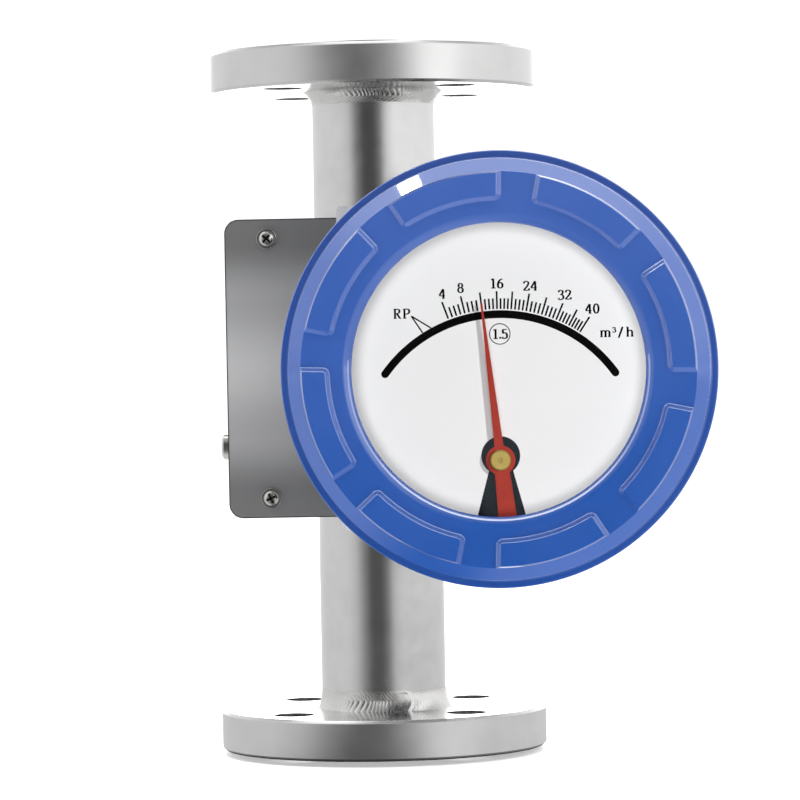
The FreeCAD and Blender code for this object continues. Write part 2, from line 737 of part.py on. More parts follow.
def make_cover():
    """Turned from a casting: ledge, bevel, front ring with eight raised lugs, lip, glass seat and skirt."""
    body = start_body("cover", "head")
    turn(body, [("coverBore", "coverBack"), ("ringGrooveInner", "coverBack"),
                ("ringGrooveInner", "coverBack + ringGrooveDeep"), ("ringGrooveOuter", "coverBack + ringGrooveDeep"),
                ("ringGrooveOuter", "coverBack"), ("ledgeRadius", "coverBack"), ("ledgeRadius", "ledgeFront"),
                ("coverRadius", "ledgeFront"), ("coverRadius", "bevelBack"), ("bevelInner", "coverFront"),
                ("lipOuter", "coverFront"), ("windowRadius", "coverFront - 2"), ("windowRadius", "glassSeat"),
                ("glassRadius + 0.1", "glassSeat"), ("glassRadius + 0.1", "skirtBack"), ("skirtOuter", "skirtBack"),
                ("skirtOuter", "coverInside"), ("coverBore", "coverInside")])
    for radius, forward, size in (("ledgeRadius", "ledgeFront", "ledgeRound"),
                                  ("coverRadius", "ledgeFront", "ledgeNeck"),
                                  ("coverRadius", "bevelBack", "bevelRound"), ("lipOuter", "coverFront", "lipRound")):
        dress(body, "Fillet", size, ring_at(SIZES[radius], SIZES[forward]))
    sketch = start_sketch(body, lift="coverFront")
    draw_lug(sketch)
    polar(body, pad(body, sketch, "lugHigh", slope="-lugSlope"), "lugCount")
    turn(body, [("bevelInner", "coverFront"), ("lugCrown", "coverFront + lugHigh"),
                ("lugCrown", "coverFront + lugHigh + 1"), ("ledgeRadius", "coverFront + lugHigh + 1"),
                ("ledgeRadius", "coverFront")], cut=True)
    dress(body, "Fillet", "lugCorner", lug_corner)
    return body


def lug_corner(edge):
    """Pick the slanting edges at the lugs' inner corners."""
    if len(edge.Vertexes) < 2:
        return False
    heights = sorted(vertex.Point.z for vertex in edge.Vertexes)
    reach = max(math.hypot(vertex.Point.x, vertex.Point.y) for vertex in edge.Vertexes)
    rises = abs(heights[1] - heights[0] - SIZES["lugHigh"]) < 1e-3
    return rises and reach < SIZES["lugInner"] + 4


def make_window():
    glass = doc.addObject("Part::Cylinder", "window_glass")
    glass.Label = "window_glass"
    bind(glass, "Radius", "glassRadius")
    bind(glass, "Height", "glassFront - glassBack")
    place(glass, "head", "glassBack")
    gasket = start_body("glass_gasket", "head")
    turn(gasket, [("retainerInner", "glassFront"), ("glassRadius", "glassFront"), ("glassRadius", "glassSeat"),
                  ("retainerInner", "glassSeat")])
    retainer = start_body("glass_retainer", "head")
    turn(retainer, [("retainerInner", "retainerBack"), ("glassRadius", "retainerBack"),
                    ("glassRadius", "glassBack"), ("retainerInner", "glassBack")])
    sketch = start_sketch(retainer, lift="retainerBack + 1.5")
    draw_box(sketch, "retainerInner - 1", "glassRadius - 1", -2, 2)
    polar(retainer, pocket(retainer, sketch, 3), 4)
    seal = doc.addObject("Part::Torus", "cover_o_ring")
    seal.Label = "cover_o_ring"
    bind(seal, "Radius1", "(ringGrooveInner + ringGrooveOuter) / 2")
    bind(seal, "Radius2", "ringSection")
    place(seal, "head", "shoulderFront + ringSection + 0.05")


# ---- chassis, dial and scale --------------------------------------------------------------------

def make_chassis():
    body = start_body("chassis_plate", "head")
    sketch = start_sketch(body, lift="chassisBack")
    draw_circle(sketch, 0, 0, "chassisRadius")
    pad(body, sketch, "chassisFront - chassisBack")
    sketch = start_sketch(body, lift="chassisFront + 1")
    draw_circle(sketch, 0, "-pivotDrop", "bushRadius")
    for right, up in around("bossCircle", BOSS_ANGLES):
        draw_circle(sketch, right, up, 2.1)
    for right, up in around("pillarCircle", PILLAR_ANGLES):
        draw_circle(sketch, right, up, 1.5)
    for side in ("-", ""):
        draw_circle(sketch, f"{side}(bridgeHalf + bridgeFoot) / 2", "-pivotDrop", 1.5)
    pocket(body, sketch, "chassisFront - chassisBack + 2")
    screws("chassis_screws", "head", cap_screw("3.6", "2", "chassisFront", "2.4", "chassisFront - 10", "1.6"),
           around("bossCircle", BOSS_ANGLES))
    screws("dial_pillars", "head",
           [(0, "chassisBack - 1.5"), (1.5, "chassisBack - 1.5"), (1.5, "chassisFront"),
            ("pillarRadius", "chassisFront"), ("pillarRadius", "dialBack"), (1.2, "dialBack"),
            (1.2, "dialBack - 7"), (0, "dialBack - 7.5")], around("pillarCircle", PILLAR_ANGLES))


def make_dial():
    """Dial with a keyhole slot for the pointer's shaft, open towards the lower edge."""
    body = start_body("dial_plate", "head")
    sketch = start_sketch(body, lift="dialBack")
    draw_circle(sketch, 0, 0, "dialRadius")
    pad(body, sketch, "dialFront - dialBack")
    sketch = start_sketch(body, lift="dialFront + 1")
    draw_circle(sketch, 0, "slotEyeRise - pivotDrop", "slotEye")
    for right, up in around("pillarCircle", PILLAR_ANGLES):
        draw_circle(sketch, right, up, 1.2)
    pocket(body, sketch, "dialFront - dialBack + 2")
    sketch = start_sketch(body, lift="dialFront + 1")
    draw_outline(sketch, [("-slotFoot", "-pivotDrop - slotReach"), ("slotFoot", "-pivotDrop - slotReach"),
                          ("slotNeck", "-pivotDrop - 3"), ("-slotNeck", "-pivotDrop - 3")])
    pocket(body, sketch, "dialFront - dialBack + 2")
    screws("dial_screws", "head", cap_screw("1.9", "1.2", "dialFront", "1.2", "dialFront - 6", "0.8"),
           around("pillarCircle", PILLAR_ANGLES))


def make_scale():
    """Printed arc and its marks, about the slot's eye: one long band, tall marks and three short ones between."""
    arc = start_body("scale_arc", "print")
    sketch = start_sketch(arc, lift="dialFront")
    angles = [math.radians(90 - SIZES["arcLast"]), math.radians(90 - SIZES["arcFirst"])]
    edges = []
    for side in (-0.5, 0.5):
        radius = SIZES["arcRadius"] + side * SIZES["arcWide"]
        circle = Part.Circle(Vector(0, 0, 0), Vector(0, 0, 1), radius)
        edges.append(sketch.addGeometry(Part.ArcOfCircle(circle, *angles), False))
    for end, angle in ((1, angles[0]), (2, angles[1])):
        middle = Vector(math.cos(angle), math.sin(angle), 0) * SIZES["arcRadius"]
        circle = Part.Circle(middle, Vector(0, 0, 1), SIZES["arcWide"] / 2)
        start = angle - math.pi if end == 1 else angle
        cap = sketch.addGeometry(Part.ArcOfCircle(circle, start, start + math.pi), False)
        near, far = (1, 2) if end == 1 else (2, 1)
        sketch.addConstraint(Sketcher.Constraint("Tangent", edges[0], end, cap, near))
        sketch.addConstraint(Sketcher.Constraint("Tangent", edges[1], end, cap, far))
    for edge, sign in zip(edges, ("-", "+")):
        sketch.addConstraint(Sketcher.Constraint("Coincident", edge, 3, -1, 1))
        index = sketch.addConstraint(Sketcher.Constraint("Radius", edge, 1.0))
        bind(sketch, f"Constraints[{index}]", f"arcRadius {sign} arcWide / 2")
    pad(arc, sketch, "printThick")
    marks = [arc]
    steps = []
    for first, last in zip(MAJOR_MARKS, MAJOR_MARKS[1:]):
        steps += [(first + (last - first) * part / MARK_STEPS, part == 0) for part in range(MARK_STEPS)]
    steps.append((MAJOR_MARKS[-1], True))
    for number, (angle, tall) in enumerate(steps):
        mark = doc.addObject("Part::Box", f"mark_{number}")
        bind(mark, "Length", "tickWide")
        bind(mark, "Width", f"{'tickMajor' if tall else 'tickMinor'} - tickInner")
        bind(mark, "Height", "printThick")
        swing = Placement(Vector(), Rotation(Vector(0, 0, 1), -angle))
        start = Placement(Vector(-SIZES["tickWide"] / 2, SIZES["tickInner"], SIZES["dialFront"]), Rotation())
        mark.Placement = PRINT * swing * start
        marks.append(mark)
    scale = doc.addObject("Part::Compound", "scale_print")
    scale.Label = "scale_print"
    scale.Links = marks


PRINT = Placement(Vector(SIZES["headAcross"], 0, SIZES["headUp"] - SIZES["pivotDrop"] + SIZES["slotEyeRise"]),
                  Rotation(Vector(1, 0, 0), 90))


# ---- pointer movement -----------------------------------------------------------------------------

def make_pointer():
    """Flat blade with a ring at the hub and a widening tail; it rests on the third figured mark."""
    body = start_body("pointer", "pivot")
    body.Placement = body.Placement * Placement(Vector(), Rotation(Vector(0, 0, 1), -SIZES["pointerRest"]))
    for outline in ([(-1.6, 2), (1.6, 2), (0.3, "pointerTip"), (-0.3, "pointerTip")],
                    [(-3.1, "-pointerTail"), (3.1, "-pointerTail"), (2.4, -2), (-2.4, -2)]):
        sketch = start_sketch(body, lift="pointerBack")
        draw_outline(sketch, outline)
        pad(body, sketch, "pointerThick")
        if len(body.Group) == 2:
            sketch = start_sketch(body, lift="pointerBack")
            draw_circle(sketch, 0, 0, "hubRing")
            pad(body, sketch, "pointerThick")
    sketch = start_sketch(body, lift="pointerBack + pointerThick + 1")
    draw_circle(sketch, 0, 0, "shaftRadius + 1")
    pocket(body, sketch, "pointerThick + 2")
    front = "pointerBack + pointerThick"
    hub = start_body("pointer_hub", "pivot")
    turn(hub, [("shaftRadius", "pointerBack - 0.8"), ("shaftRadius + 1", "pointerBack - 0.8"),
               ("shaftRadius + 1", front), ("capRadius", front), ("capRadius", f"{front} + 1.8"),
               ("capRadius - 0.4", f"{front} + 2.2"), (0.5, f"{front} + 2.2"), (0, f"{front} + 1.9"),
               (0, "shaftFront"), ("shaftRadius", "shaftFront")])


def make_movement():
    """Shaft in two bushes, the follower magnet on its holder, and the bridge that carries the rear bush."""
    shaft = doc.addObject("Part::Cylinder", "pointer_shaft")
    shaft.Label = "pointer_shaft"
    bind(shaft, "Radius", "shaftRadius")
    bind(shaft, "Height", "shaftFront - shaftBack")
    place(shaft, "pivot", "shaftBack")
    bore = "shaftRadius + bushGap"
    front = start_body("front_bearing", "pivot")
    turn(front, [(bore, "chassisBack - 1"), ("bushRadius", "chassisBack - 1"), ("bushRadius", "chassisFront"),
                 ("bushRadius + 1.2", "chassisFront"), ("bushRadius + 1.2", "chassisFront + 1"),
                 (bore, "chassisFront + 1")])
    web = "bridgeBack + sheetThick"
    rear = start_body("rear_bearing", "pivot")
    turn(rear, [(bore, "bridgeBack - 0.8"), ("bushRadius", "bridgeBack - 0.8"), ("bushRadius", web),
                ("bushRadius + 1.2", web), ("bushRadius + 1.2", f"{web} + 0.8"), (bore, f"{web} + 0.8")])
    bridge = start_body("bearing_bridge", "pivot")
    foot = "chassisBack - sheetThick"
    inner = "bridgeHalf - sheetThick"
    sketch = start_sketch(bridge, "XZ_Plane")
    draw_outline(sketch, [("-bridgeFoot", foot), ("-bridgeHalf", foot), ("-bridgeHalf", "bridgeBack"),
                          ("bridgeHalf", "bridgeBack"), ("bridgeHalf", foot), ("bridgeFoot", foot),
                          ("bridgeFoot", "chassisBack"), (inner, "chassisBack"), (inner, web),
                          (f"-({inner})", web), (f"-({inner})", "chassisBack"), ("-bridgeFoot", "chassisBack")])
    pad(bridge, sketch, "bridgeDeep * 2", both=True)
    sketch = start_sketch(bridge, lift="chassisBack + 1")
    draw_circle(sketch, 0, 0, "bushRadius")
    for side in ("-", ""):
        draw_circle(sketch, f"{side}(bridgeHalf + bridgeFoot) / 2", 0, 1.5)
    pocket(bridge, sketch, "chassisBack - bridgeBack + 2")
    screws("bridge_screws", "pivot", cap_screw("2.6", "1.5", "chassisFront", "1.8", "chassisFront - 6", "1.2"),
           [("-(bridgeHalf + bridgeFoot) / 2", 0), ("(bridgeHalf + bridgeFoot) / 2", 0)])
    holder = start_body("magnet_holder", "pivot")
    turn(holder, [("shaftRadius", "followerBack - 1.5"), (5.5, "followerBack - 1.5"), (5.5, "followerBack"),
                  (4, "followerBack"), (4, "followerFront"), ("shaftRadius", "followerFront")])
    magnet = start_body("follower_magnet", "pivot")
    turn(magnet, [(4, "followerBack"), ("followerRadius", "followerBack"), ("followerRadius", "followerFront"),
                  (4, "followerFront")])


# ---- electronics ------------------------------------------------------------------------------------

BOARD_SPOTS = [(-22, 2), (22, 2), (-10, 30), (10, 30)]


def make_electronics():
    top = "boardBack + boardThick"
    board = start_body("transmitter_board", "head")
    sketch = start_sketch(board, lift="boardBack")
    draw_box(sketch, "-boardHalf", "boardHalf", "boardLow", "boardTop")
    for right, up in BOARD_SPOTS:
        draw_circle(sketch, right, up, 1.5)
    pad(board, sketch, "boardThick")
    screws("board_standoffs", "head",
           [(0, "housingFloor"), (2.6, "housingFloor"), (2.6, "boardBack"), (1.2, "boardBack"),
            (1.2, "housingFloor + 1"), (0, "housingFloor + 0.6")], BOARD_SPOTS)
    screws("board_screws", "head", cap_screw("2.5", "1.2", top, "1.6", "housingFloor + 1.5", "1"), BOARD_SPOTS)
    block = start_body("terminal_block", "head")
    sketch = start_sketch(block, lift=top)
    draw_box(sketch, "-terminalHalf", "terminalHalf", "terminalUp - terminalDeep", "terminalUp + terminalDeep")
    pad(block, sketch, "terminalHigh")
    sketch = start_sketch(block, lift=f"{top} + terminalHigh")
    draw_box(sketch, "-terminalHalf - 1", "terminalHalf + 1", "terminalUp - terminalDeep - 1", "terminalUp - 1")
    pocket(block, sketch, 3)
    sketch = start_sketch(block, "XZ_Plane", lift="-(terminalUp - terminalDeep - 1)")
    for spot in terminal_spots():
        draw_circle(sketch, spot, f"{top} + 3", 1.7)
    pocket(block, sketch, 7)
    sketch = start_sketch(block, lift=f"{top} + terminalHigh + 1")
    for spot in terminal_spots():
        draw_circle(sketch, spot, "terminalUp + 2", 2)
    pocket(block, sketch, 5)
    screws("terminal_screws", "head",
           [(0, f"{top} + terminalHigh - 4"), (2, f"{top} + terminalHigh - 4"), (2, f"{top} + terminalHigh - 2"),
            (0.5, f"{top} + terminalHigh - 2"), (0.5, f"{top} + terminalHigh - 2.8"),
            (0, f"{top} + terminalHigh - 2.8")], [(spot, "terminalUp + 2") for spot in terminal_spots()])


def terminal_spots():
    count = SIZES["terminalCount"]
    return [f"terminalHalf * {(2 * i + 1) / count - 1}" for i in range(count)]


# ---- build, check and write --------------------------------------------------------------------------

make_tube()
for end, upper in (("inlet", False), ("outlet", True)):
    make_flange(f"{end}_flange", upper)
    make_welds(f"{end}_welds", upper)
make_retaining_rings()
make_guide("lower_guide", "(coneLow - guideHigh)")
make_guide("upper_guide", "upperGuide")
make_cone()
make_float()
make_casing()
make_casing_welds()
make_front_plate()
make_plate_fasteners()
make_earth_screw()
make_adapter()
make_housing()
make_housing_fasteners()
make_cover()
make_window()
make_chassis()
make_dial()
make_scale()
make_pointer()
make_movement()
make_electronics()
doc.recompute()

PIECES_IN_SET = {
    "inlet_welds": 2, "outlet_welds": 2, "retaining_rings": 4, "casing_welds": 2, "plate_screws": 2,
    "plate_washers": 2, "weld_nuts": 6, "adapter_screws": 4, "housing_screws": 4, "chassis_screws": 3,
    "dial_pillars": 3, "dial_screws": 3, "scale_print": 38, "bridge_screws": 2, "board_standoffs": 4,
    "board_screws": 4, "terminal_screws": 4,
}
INNER_SHAPES = ("scale_arc",)


def finished_pieces():
    """The objects that stand for pieces: bodies, single primitives and sets."""
    kinds = ("PartDesign::Body", "Part::Cylinder", "Part::Torus", "Part::Compound")
    return [item for item in doc.Objects if item.TypeId in kinds and item.Label not in INNER_SHAPES]


def check_and_write():
    faults = [f"{item.Label}: {item.State}" for item in doc.Objects
              if "Invalid" in item.State or "Error" in item.State]
    pieces = finished_pieces()
    for piece in pieces:
        shape = piece.Shape
        if shape.isNull() or not shape.isValid():
            faults.append(f"{piece.Label}: bad shape")
        elif len(shape.Solids) != PIECES_IN_SET.get(piece.Label, 1):
            faults.append(f"{piece.Label}: {len(shape.Solids)} solids")
    if faults:
        raise RuntimeError("; ".join(faults))
    os.makedirs("parts", exist_ok=True)
    for piece in pieces:
        piece.Shape.exportStep(f"parts/{piece.Label}.step")
        print(f"{piece.Label}: {piece.Shape.Volume / 1000:.3f} cm3")
    print(len(pieces), "pieces written")


check_and_write()
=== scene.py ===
import math

import bpy
import numpy as np
from mathutils import Matrix, Vector


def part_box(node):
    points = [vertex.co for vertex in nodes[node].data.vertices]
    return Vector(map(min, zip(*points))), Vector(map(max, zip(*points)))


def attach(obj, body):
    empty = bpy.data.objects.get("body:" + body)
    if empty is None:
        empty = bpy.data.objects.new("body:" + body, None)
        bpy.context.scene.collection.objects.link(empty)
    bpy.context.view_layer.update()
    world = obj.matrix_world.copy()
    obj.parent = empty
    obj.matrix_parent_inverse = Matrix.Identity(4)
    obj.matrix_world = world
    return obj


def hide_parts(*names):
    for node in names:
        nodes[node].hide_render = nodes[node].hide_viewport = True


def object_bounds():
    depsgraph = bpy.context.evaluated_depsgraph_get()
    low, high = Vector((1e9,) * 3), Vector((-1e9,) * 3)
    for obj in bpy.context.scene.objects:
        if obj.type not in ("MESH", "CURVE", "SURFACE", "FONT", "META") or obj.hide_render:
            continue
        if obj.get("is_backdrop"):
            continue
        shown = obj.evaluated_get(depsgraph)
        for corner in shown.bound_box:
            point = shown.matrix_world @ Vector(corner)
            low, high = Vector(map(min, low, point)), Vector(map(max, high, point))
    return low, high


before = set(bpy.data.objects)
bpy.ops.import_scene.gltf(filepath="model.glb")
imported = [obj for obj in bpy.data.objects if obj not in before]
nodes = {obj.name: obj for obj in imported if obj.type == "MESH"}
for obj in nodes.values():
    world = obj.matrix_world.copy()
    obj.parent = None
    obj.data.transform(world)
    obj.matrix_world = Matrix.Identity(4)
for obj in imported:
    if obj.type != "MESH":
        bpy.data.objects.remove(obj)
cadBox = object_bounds()
mm = 0.001
hair = 1e-6   # too small a step to matter
print("frame loaded with", len(nodes), "pieces")


def middleOf(node):
    low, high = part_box(node)
    return (np.array(low) + np.array(high)) / 2


headAt = middleOf("window_glass")   # on the indicator head's axis
pivotAt = middleOf("pointer_shaft")   # on the pointer's axis
dialFace = -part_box("dial_plate")[0][1]   # how far forward the dial's front lies


# Angles once round, as a column.
def onceRound(sides):
    return np.linspace(0, 2 * math.pi, sides, endpoint=False)[:, None]


# Turns (radius, angle clockwise from the top, forward) about an axis into places in the frame.
def faceOn(centre, radius, clockwise, forward):
    across = centre[0] + radius * np.sin(clockwise)
    up = centre[2] + radius * np.cos(clockwise)
    return np.stack(np.broadcast_arrays(across, -forward, up), -1)


def addNode(tree, kind, inputs=None, **settings):
    node = tree.nodes.new("ShaderNode" + kind)
    for name, value in settings.items():
        setattr(node, name, value)
    for name, value in (inputs or {}).items():
        if isinstance(value, bpy.types.NodeSocket):
            tree.links.new(value, node.inputs[name])
        else:
            node.inputs[name].default_value = value
    return node


def newFinish(name, look):
    material = bpy.data.materials.new(name)
    material.use_nodes = True
    tree = material.node_tree
    shader = tree.nodes["Principled BSDF"]
    shader.inputs["Base Color"].default_value = (*look["colour"], 1)
    shader.inputs["Metallic"].default_value = look.get("metal", 0)
    shader.inputs["Roughness"].default_value = look["rough"][0]
    shader.inputs["Coat Weight"].default_value = look.get("coat", 0)
    shader.inputs["Coat Roughness"].default_value = look.get("coatRough", 0.03)
    shader.inputs["Coat IOR"].default_value = look.get("coatBend", 1.5)
    shader.inputs["Specular IOR Level"].default_value = look.get("specular", 0.5)
    return material, tree, shader


def objectPoint(tree, centre=(0, 0, 0), scale=(1, 1, 1)):
    place = addNode(tree, "TexCoord").outputs["Object"]
    moved = addNode(tree, "VectorMath", {0: place, 1: tuple(centre)}, operation="SUBTRACT")
    return addNode(tree, "VectorMath", {0: moved.outputs[0], 1: scale}, operation="MULTIPLY").outputs[0]


def grain(tree, point, size, detail=3, roughness=0.55):
    settings = {"Vector": point, "Scale": 1 / size, "Detail": detail, "Roughness": roughness}
    return addNode(tree, "TexNoise", settings).outputs[0]


def ringGrain(tree, distance, pitch):
    settings = {"W": distance, "Scale": 1 / pitch, "Detail": 2, "Roughness": 0.6}
    return addNode(tree, "TexNoise", settings, noise_dimensions="1D").outputs[0]


def spread(tree, value, low, high, fromLow=0.3, fromHigh=0.7):
    settings = {"Value": value, "From Min": fromLow, "From Max": fromHigh, "To Min": low, "To Max": high}
    return addNode(tree, "MapRange", settings).outputs[0]


def blend(tree, value, stops, kind="LINEAR"):
    ramp = addNode(tree, "ValToRGB", {0: value})
    ramp.color_ramp.interpolation = kind
    marks = ramp.color_ramp.elements
    for number, (place, colour) in enumerate(stops):
        mark = marks[number] if number < 2 else marks.new(place)
        mark.position = place
        mark.color = (*colour, 1)
    return ramp.outputs[0]


def relief(tree, height, depth, below=None):
    bump = addNode(tree, "Bump", {"Height": height, "Strength": 1, "Distance": depth})
    if below is not None:
        tree.links.new(below, bump.inputs["Normal"])
    return bump.outputs[0]


def join(tree, first, second, operation="ADD"):
    return addNode(tree, "Math", {0: first, 1: second}, operation=operation).outputs[0]


def partOf(tree, point, axis):
    return addNode(tree, "SeparateXYZ", {0: point}).outputs[axis]


# Distance from an axis that stands along one coordinate of the point.
def reachFrom(tree, point, keep):
    flat = addNode(tree, "VectorMath", {0: point, 1: keep}, operation="MULTIPLY")
    return addNode(tree, "VectorMath", {0: flat.outputs[0]}, operation="LENGTH").outputs["Value"]


def faded(colour, by):
    return tuple(channel * by for channel in colour)


# The look's own colour where the grain is high, and a duller shade of it where it is low.
def mottled(tree, value, look, dullTo=0.3, brightFrom=0.7):
    duller = faded(look["colour"], look.get("dull", 0.85))
    return blend(tree, value, [(dullTo, duller), (brightFrom, look["colour"])])


def wire(tree, shader, colour, rough, normal):
    tree.links.new(colour, shader.inputs["Base Color"])
    tree.links.new(rough, shader.inputs["Roughness"])
    tree.links.new(normal, shader.inputs["Normal"])


machinedLook = {"colour": (0.70, 0.70, 0.697), "dull": 0.88, "metal": 1, "rough": (0.3, 0.4),
                "faceRough": 0.17, "rimFrom": 56.6 * mm, "rimTo": 57.3 * mm, "cloud": 22 * mm,
                "fleck": 1.1 * mm, "fleckDepth": 0.012 * mm, "turnPitch": 0.5 * mm, "turnDepth": 0.004 * mm}


# Flanges: satin turned steel, smoother on the faces than round the rim, with fine turning rings and flecks.
# The rings follow the reach from the pipe's axis plus the height, so they run round the rim as well.
def machinedSteel(look=machinedLook):
    material, tree, shader = newFinish("machinedSteel", look)
    point = objectPoint(tree)
    cloud = grain(tree, point, look["cloud"])
    fleck = grain(tree, point, look["fleck"], detail=2)
    reach = reachFrom(tree, point, (1, 1, 0))
    rings = ringGrain(tree, join(tree, reach, partOf(tree, point, "Z")), look["turnPitch"])
    rim = spread(tree, reach, 0, 1, look["rimFrom"], look["rimTo"])
    rough = addNode(tree, "Mix", {0: rim, 2: look["faceRough"], 3: spread(tree, cloud, *look["rough"])})
    turned = relief(tree, rings, look["turnDepth"])
    wire(tree, shader, mottled(tree, cloud, look), rough.outputs[0],
         relief(tree, fleck, look["fleckDepth"], turned))
    return material


tubeLook = {"colour": (0.71, 0.71, 0.708), "dull": 0.94, "metal": 1, "rough": (0.15, 0.23), "cloud": 9 * mm,
            "brightFrom": 0.68, "wave": 14 * mm, "waveDepth": 0.12 * mm, "polishPitch": 0.35 * mm,
            "polishDepth": 0.0015 * mm}


# Tube: bright drawn steel with slight waves and polishing rings.
def tubeSteel(look=tubeLook):
    material, tree, shader = newFinish("tubeSteel", look)
    point = objectPoint(tree)
    cloud = grain(tree, point, look["cloud"], detail=5, roughness=0.6)
    wave = grain(tree, point, look["wave"], detail=1)
    rings = ringGrain(tree, partOf(tree, point, "Z"), look["polishPitch"])
    waved = relief(tree, wave, look["waveDepth"])
    shade = mottled(tree, cloud, look, brightFrom=look["brightFrom"])
    wire(tree, shader, shade, spread(tree, cloud, *look["rough"]),
         relief(tree, rings, look["polishDepth"], waved))
    return material


weldLook = {"colour": (0.66, 0.658, 0.652), "metal": 1, "rough": (0.22, 0.34), "tint": (0.6, 0.592, 0.575),
            "plainTo": 0.42, "tintFrom": 0.72, "cloud": 6 * mm, "fleck": 0.9 * mm, "fleckDepth": 0.002 * mm}


# Weld beads: bright, with a faint straw tint where the heat was.
def weldSteel(look=weldLook):
    material, tree, shader = newFinish("weldSteel", look)
    point = objectPoint(tree)
    cloud = grain(tree, point, look["cloud"])
    fleck = grain(tree, point, look["fleck"])
    shade = blend(tree, cloud, [(look["plainTo"], look["colour"]), (look["tintFrom"], look["tint"])])
    wire(tree, shader, shade, spread(tree, fleck, *look["rough"]), relief(tree, fleck, look["fleckDepth"]))
    return material


# The dimmer and dark shades, and where they start, are the plate's painted reflection away from its middle.
plateLook = {"colour": (0.72, 0.72, 0.72), "metal": 0.5, "rough": (0.36, 0.5), "dark": (0.235, 0.235, 0.235),
             "casing": (0.66, 0.66, 0.66), "casingBehind": 0.1 * mm, "edge": (0.05, 0.05, 0.05),
             "edgeFrom": 0.28 * mm, "edgeTo": 0.52 * mm, "corner": 5 * mm, "middle": 137.5 * mm,
             "half": 62 * mm, "dim": 0.7, "dimAt": 0.38, "darkAt": 0.7, "brushFine": 0.35 * mm,
             "brushLong": 45 * mm, "brushDepth": 0.004 * mm}


# 1 at the front plate's rounded outline, 0 further in: half the plate less the corner is taken from the
# distance to the middle, and what is left over is measured against the corner.
def plateEdge(tree, look, low, high):
    straight = (high - low) / 2 - look["corner"]
    off = addNode(tree, "VectorMath", {0: objectPoint(tree, (low + high) / 2)}, operation="ABSOLUTE")
    off = addNode(tree, "VectorMath", {0: off.outputs[0], 1: tuple(straight)}, operation="SUBTRACT")
    off = addNode(tree, "VectorMath", {0: off.outputs[0], 1: (0, 0, 0)}, operation="MAXIMUM")
    inside = join(tree, look["corner"], reachFrom(tree, off.outputs[0], (1, 0, 1)), "SUBTRACT")
    return spread(tree, inside, 1, 0, look["edgeFrom"], look["edgeTo"])


# Front plate and casing: upright brushing, with a painted reflection: the plate's colour is brightest along
# its middle and darker towards its top and bottom. The plate is dark at its very edge.
def plateSteel(look=plateLook):
    material, tree, shader = newFinish("plateSteel", look)
    point = objectPoint(tree, (0, 0, look["middle"]))
    stretch = look["brushFine"] / look["brushLong"]
    brush = grain(tree, objectPoint(tree, (0, 0, 0), (1, 1, stretch)), look["brushFine"], detail=2)
    height = addNode(tree, "Math", {0: partOf(tree, point, "Z")}, operation="ABSOLUTE").outputs[0]
    # Painted reflection: the colour dims, then darkens, with the height from the plate's middle.
    away = spread(tree, height, 0, 1, 0, look["half"])
    steps = [(0, look["colour"]), (look["dimAt"], faded(look["colour"], look["dim"])),
             (look["darkAt"], look["dark"]), (1, look["dark"])]
    low, high = (np.array(corner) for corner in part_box("front_plate"))
    edge = plateEdge(tree, look, low, high)
    behind = join(tree, partOf(tree, point, "Y"), high[1] + look["casingBehind"], "GREATER_THAN")
    shade = blend(tree, away, steps, "EASE")
    for where, colour in ((edge, look["edge"]), (behind, look["casing"])):
        shade = addNode(tree, "Mix", {0: where, 6: shade, 7: (*colour, 1)}, data_type="RGBA").outputs[2]
    wire(tree, shader, shade, spread(tree, brush, *look["rough"]), relief(tree, brush, look["brushDepth"]))
    return material


# Metal with broad clouds of a duller shade and fine flecks.
def spottedMetal(name, look):
    material, tree, shader = newFinish(name, look)
    point = objectPoint(tree)
    cloud = grain(tree, point, look["cloud"])
    fleck = grain(tree, point, look["fleck"], detail=2)
    wire(tree, shader, mottled(tree, cloud, look), spread(tree, cloud, *look["rough"]),
         relief(tree, fleck, look["fleckDepth"]))
    return material


# Spotted metal with painted shade: dark where the piece's "slotDepth" attribute is high, deep in the screws'
# slots.
def slottedMetal(name, look):
    material = spottedMetal(name, look)
    tree = material.node_tree
    colour = tree.nodes["Principled BSDF"].inputs["Base Color"]
    deep = addNode(tree, "Attribute", attribute_name="slotDepth").outputs["Fac"]
    deep = spread(tree, deep, 0, 1, *look["slotFade"])
    shade = addNode(tree, "Mix", {0: deep, 6: colour.links[0].from_socket, 7: (*look["slot"], 1)},
                    data_type="RGBA")
    tree.links.new(shade.outputs[2], colour)
    return material


innerLook = {"colour": (0.6, 0.59, 0.57), "metal": 1, "rough": (0.25, 0.4), "cloud": 8 * mm,
             "fleck": 0.5 * mm, "fleckDepth": 0.004 * mm}
# The screws' near-black slot colour is painted shade in the recesses of their crossed slots.
screwLook = {"colour": (0.74, 0.73, 0.71), "slot": (0.06, 0.06, 0.06), "slotFade": (0.2, 0.6), "metal": 1,
             "rough": (0.12, 0.22), "cloud": 3 * mm, "fleck": 0.6 * mm, "fleckDepth": 0.006 * mm}
castLook = {"colour": (0.84, 0.84, 0.85), "metal": 0.3, "rough": (0.32, 0.46), "cloud": 12 * mm,
            "fleck": 0.8 * mm, "fleckDepth": 0.02 * mm}
plugLook = {"colour": (0.3, 0.3, 0.3), "metal": 1, "rough": (0.2, 0.34), "cloud": 5 * mm,
            "fleck": 0.4 * mm, "fleckDepth": 0.004 * mm}

brassLook = {"colour": (0.36, 0.265, 0.053), "metal": 0.4, "rough": (0.34, 0.5), "turnPitch": 0.25 * mm,
             "turnDepth": 0.008 * mm, "markRadius": 0.9 * mm, "markWide": 0.16 * mm, "markDepth": 0.1 * mm}


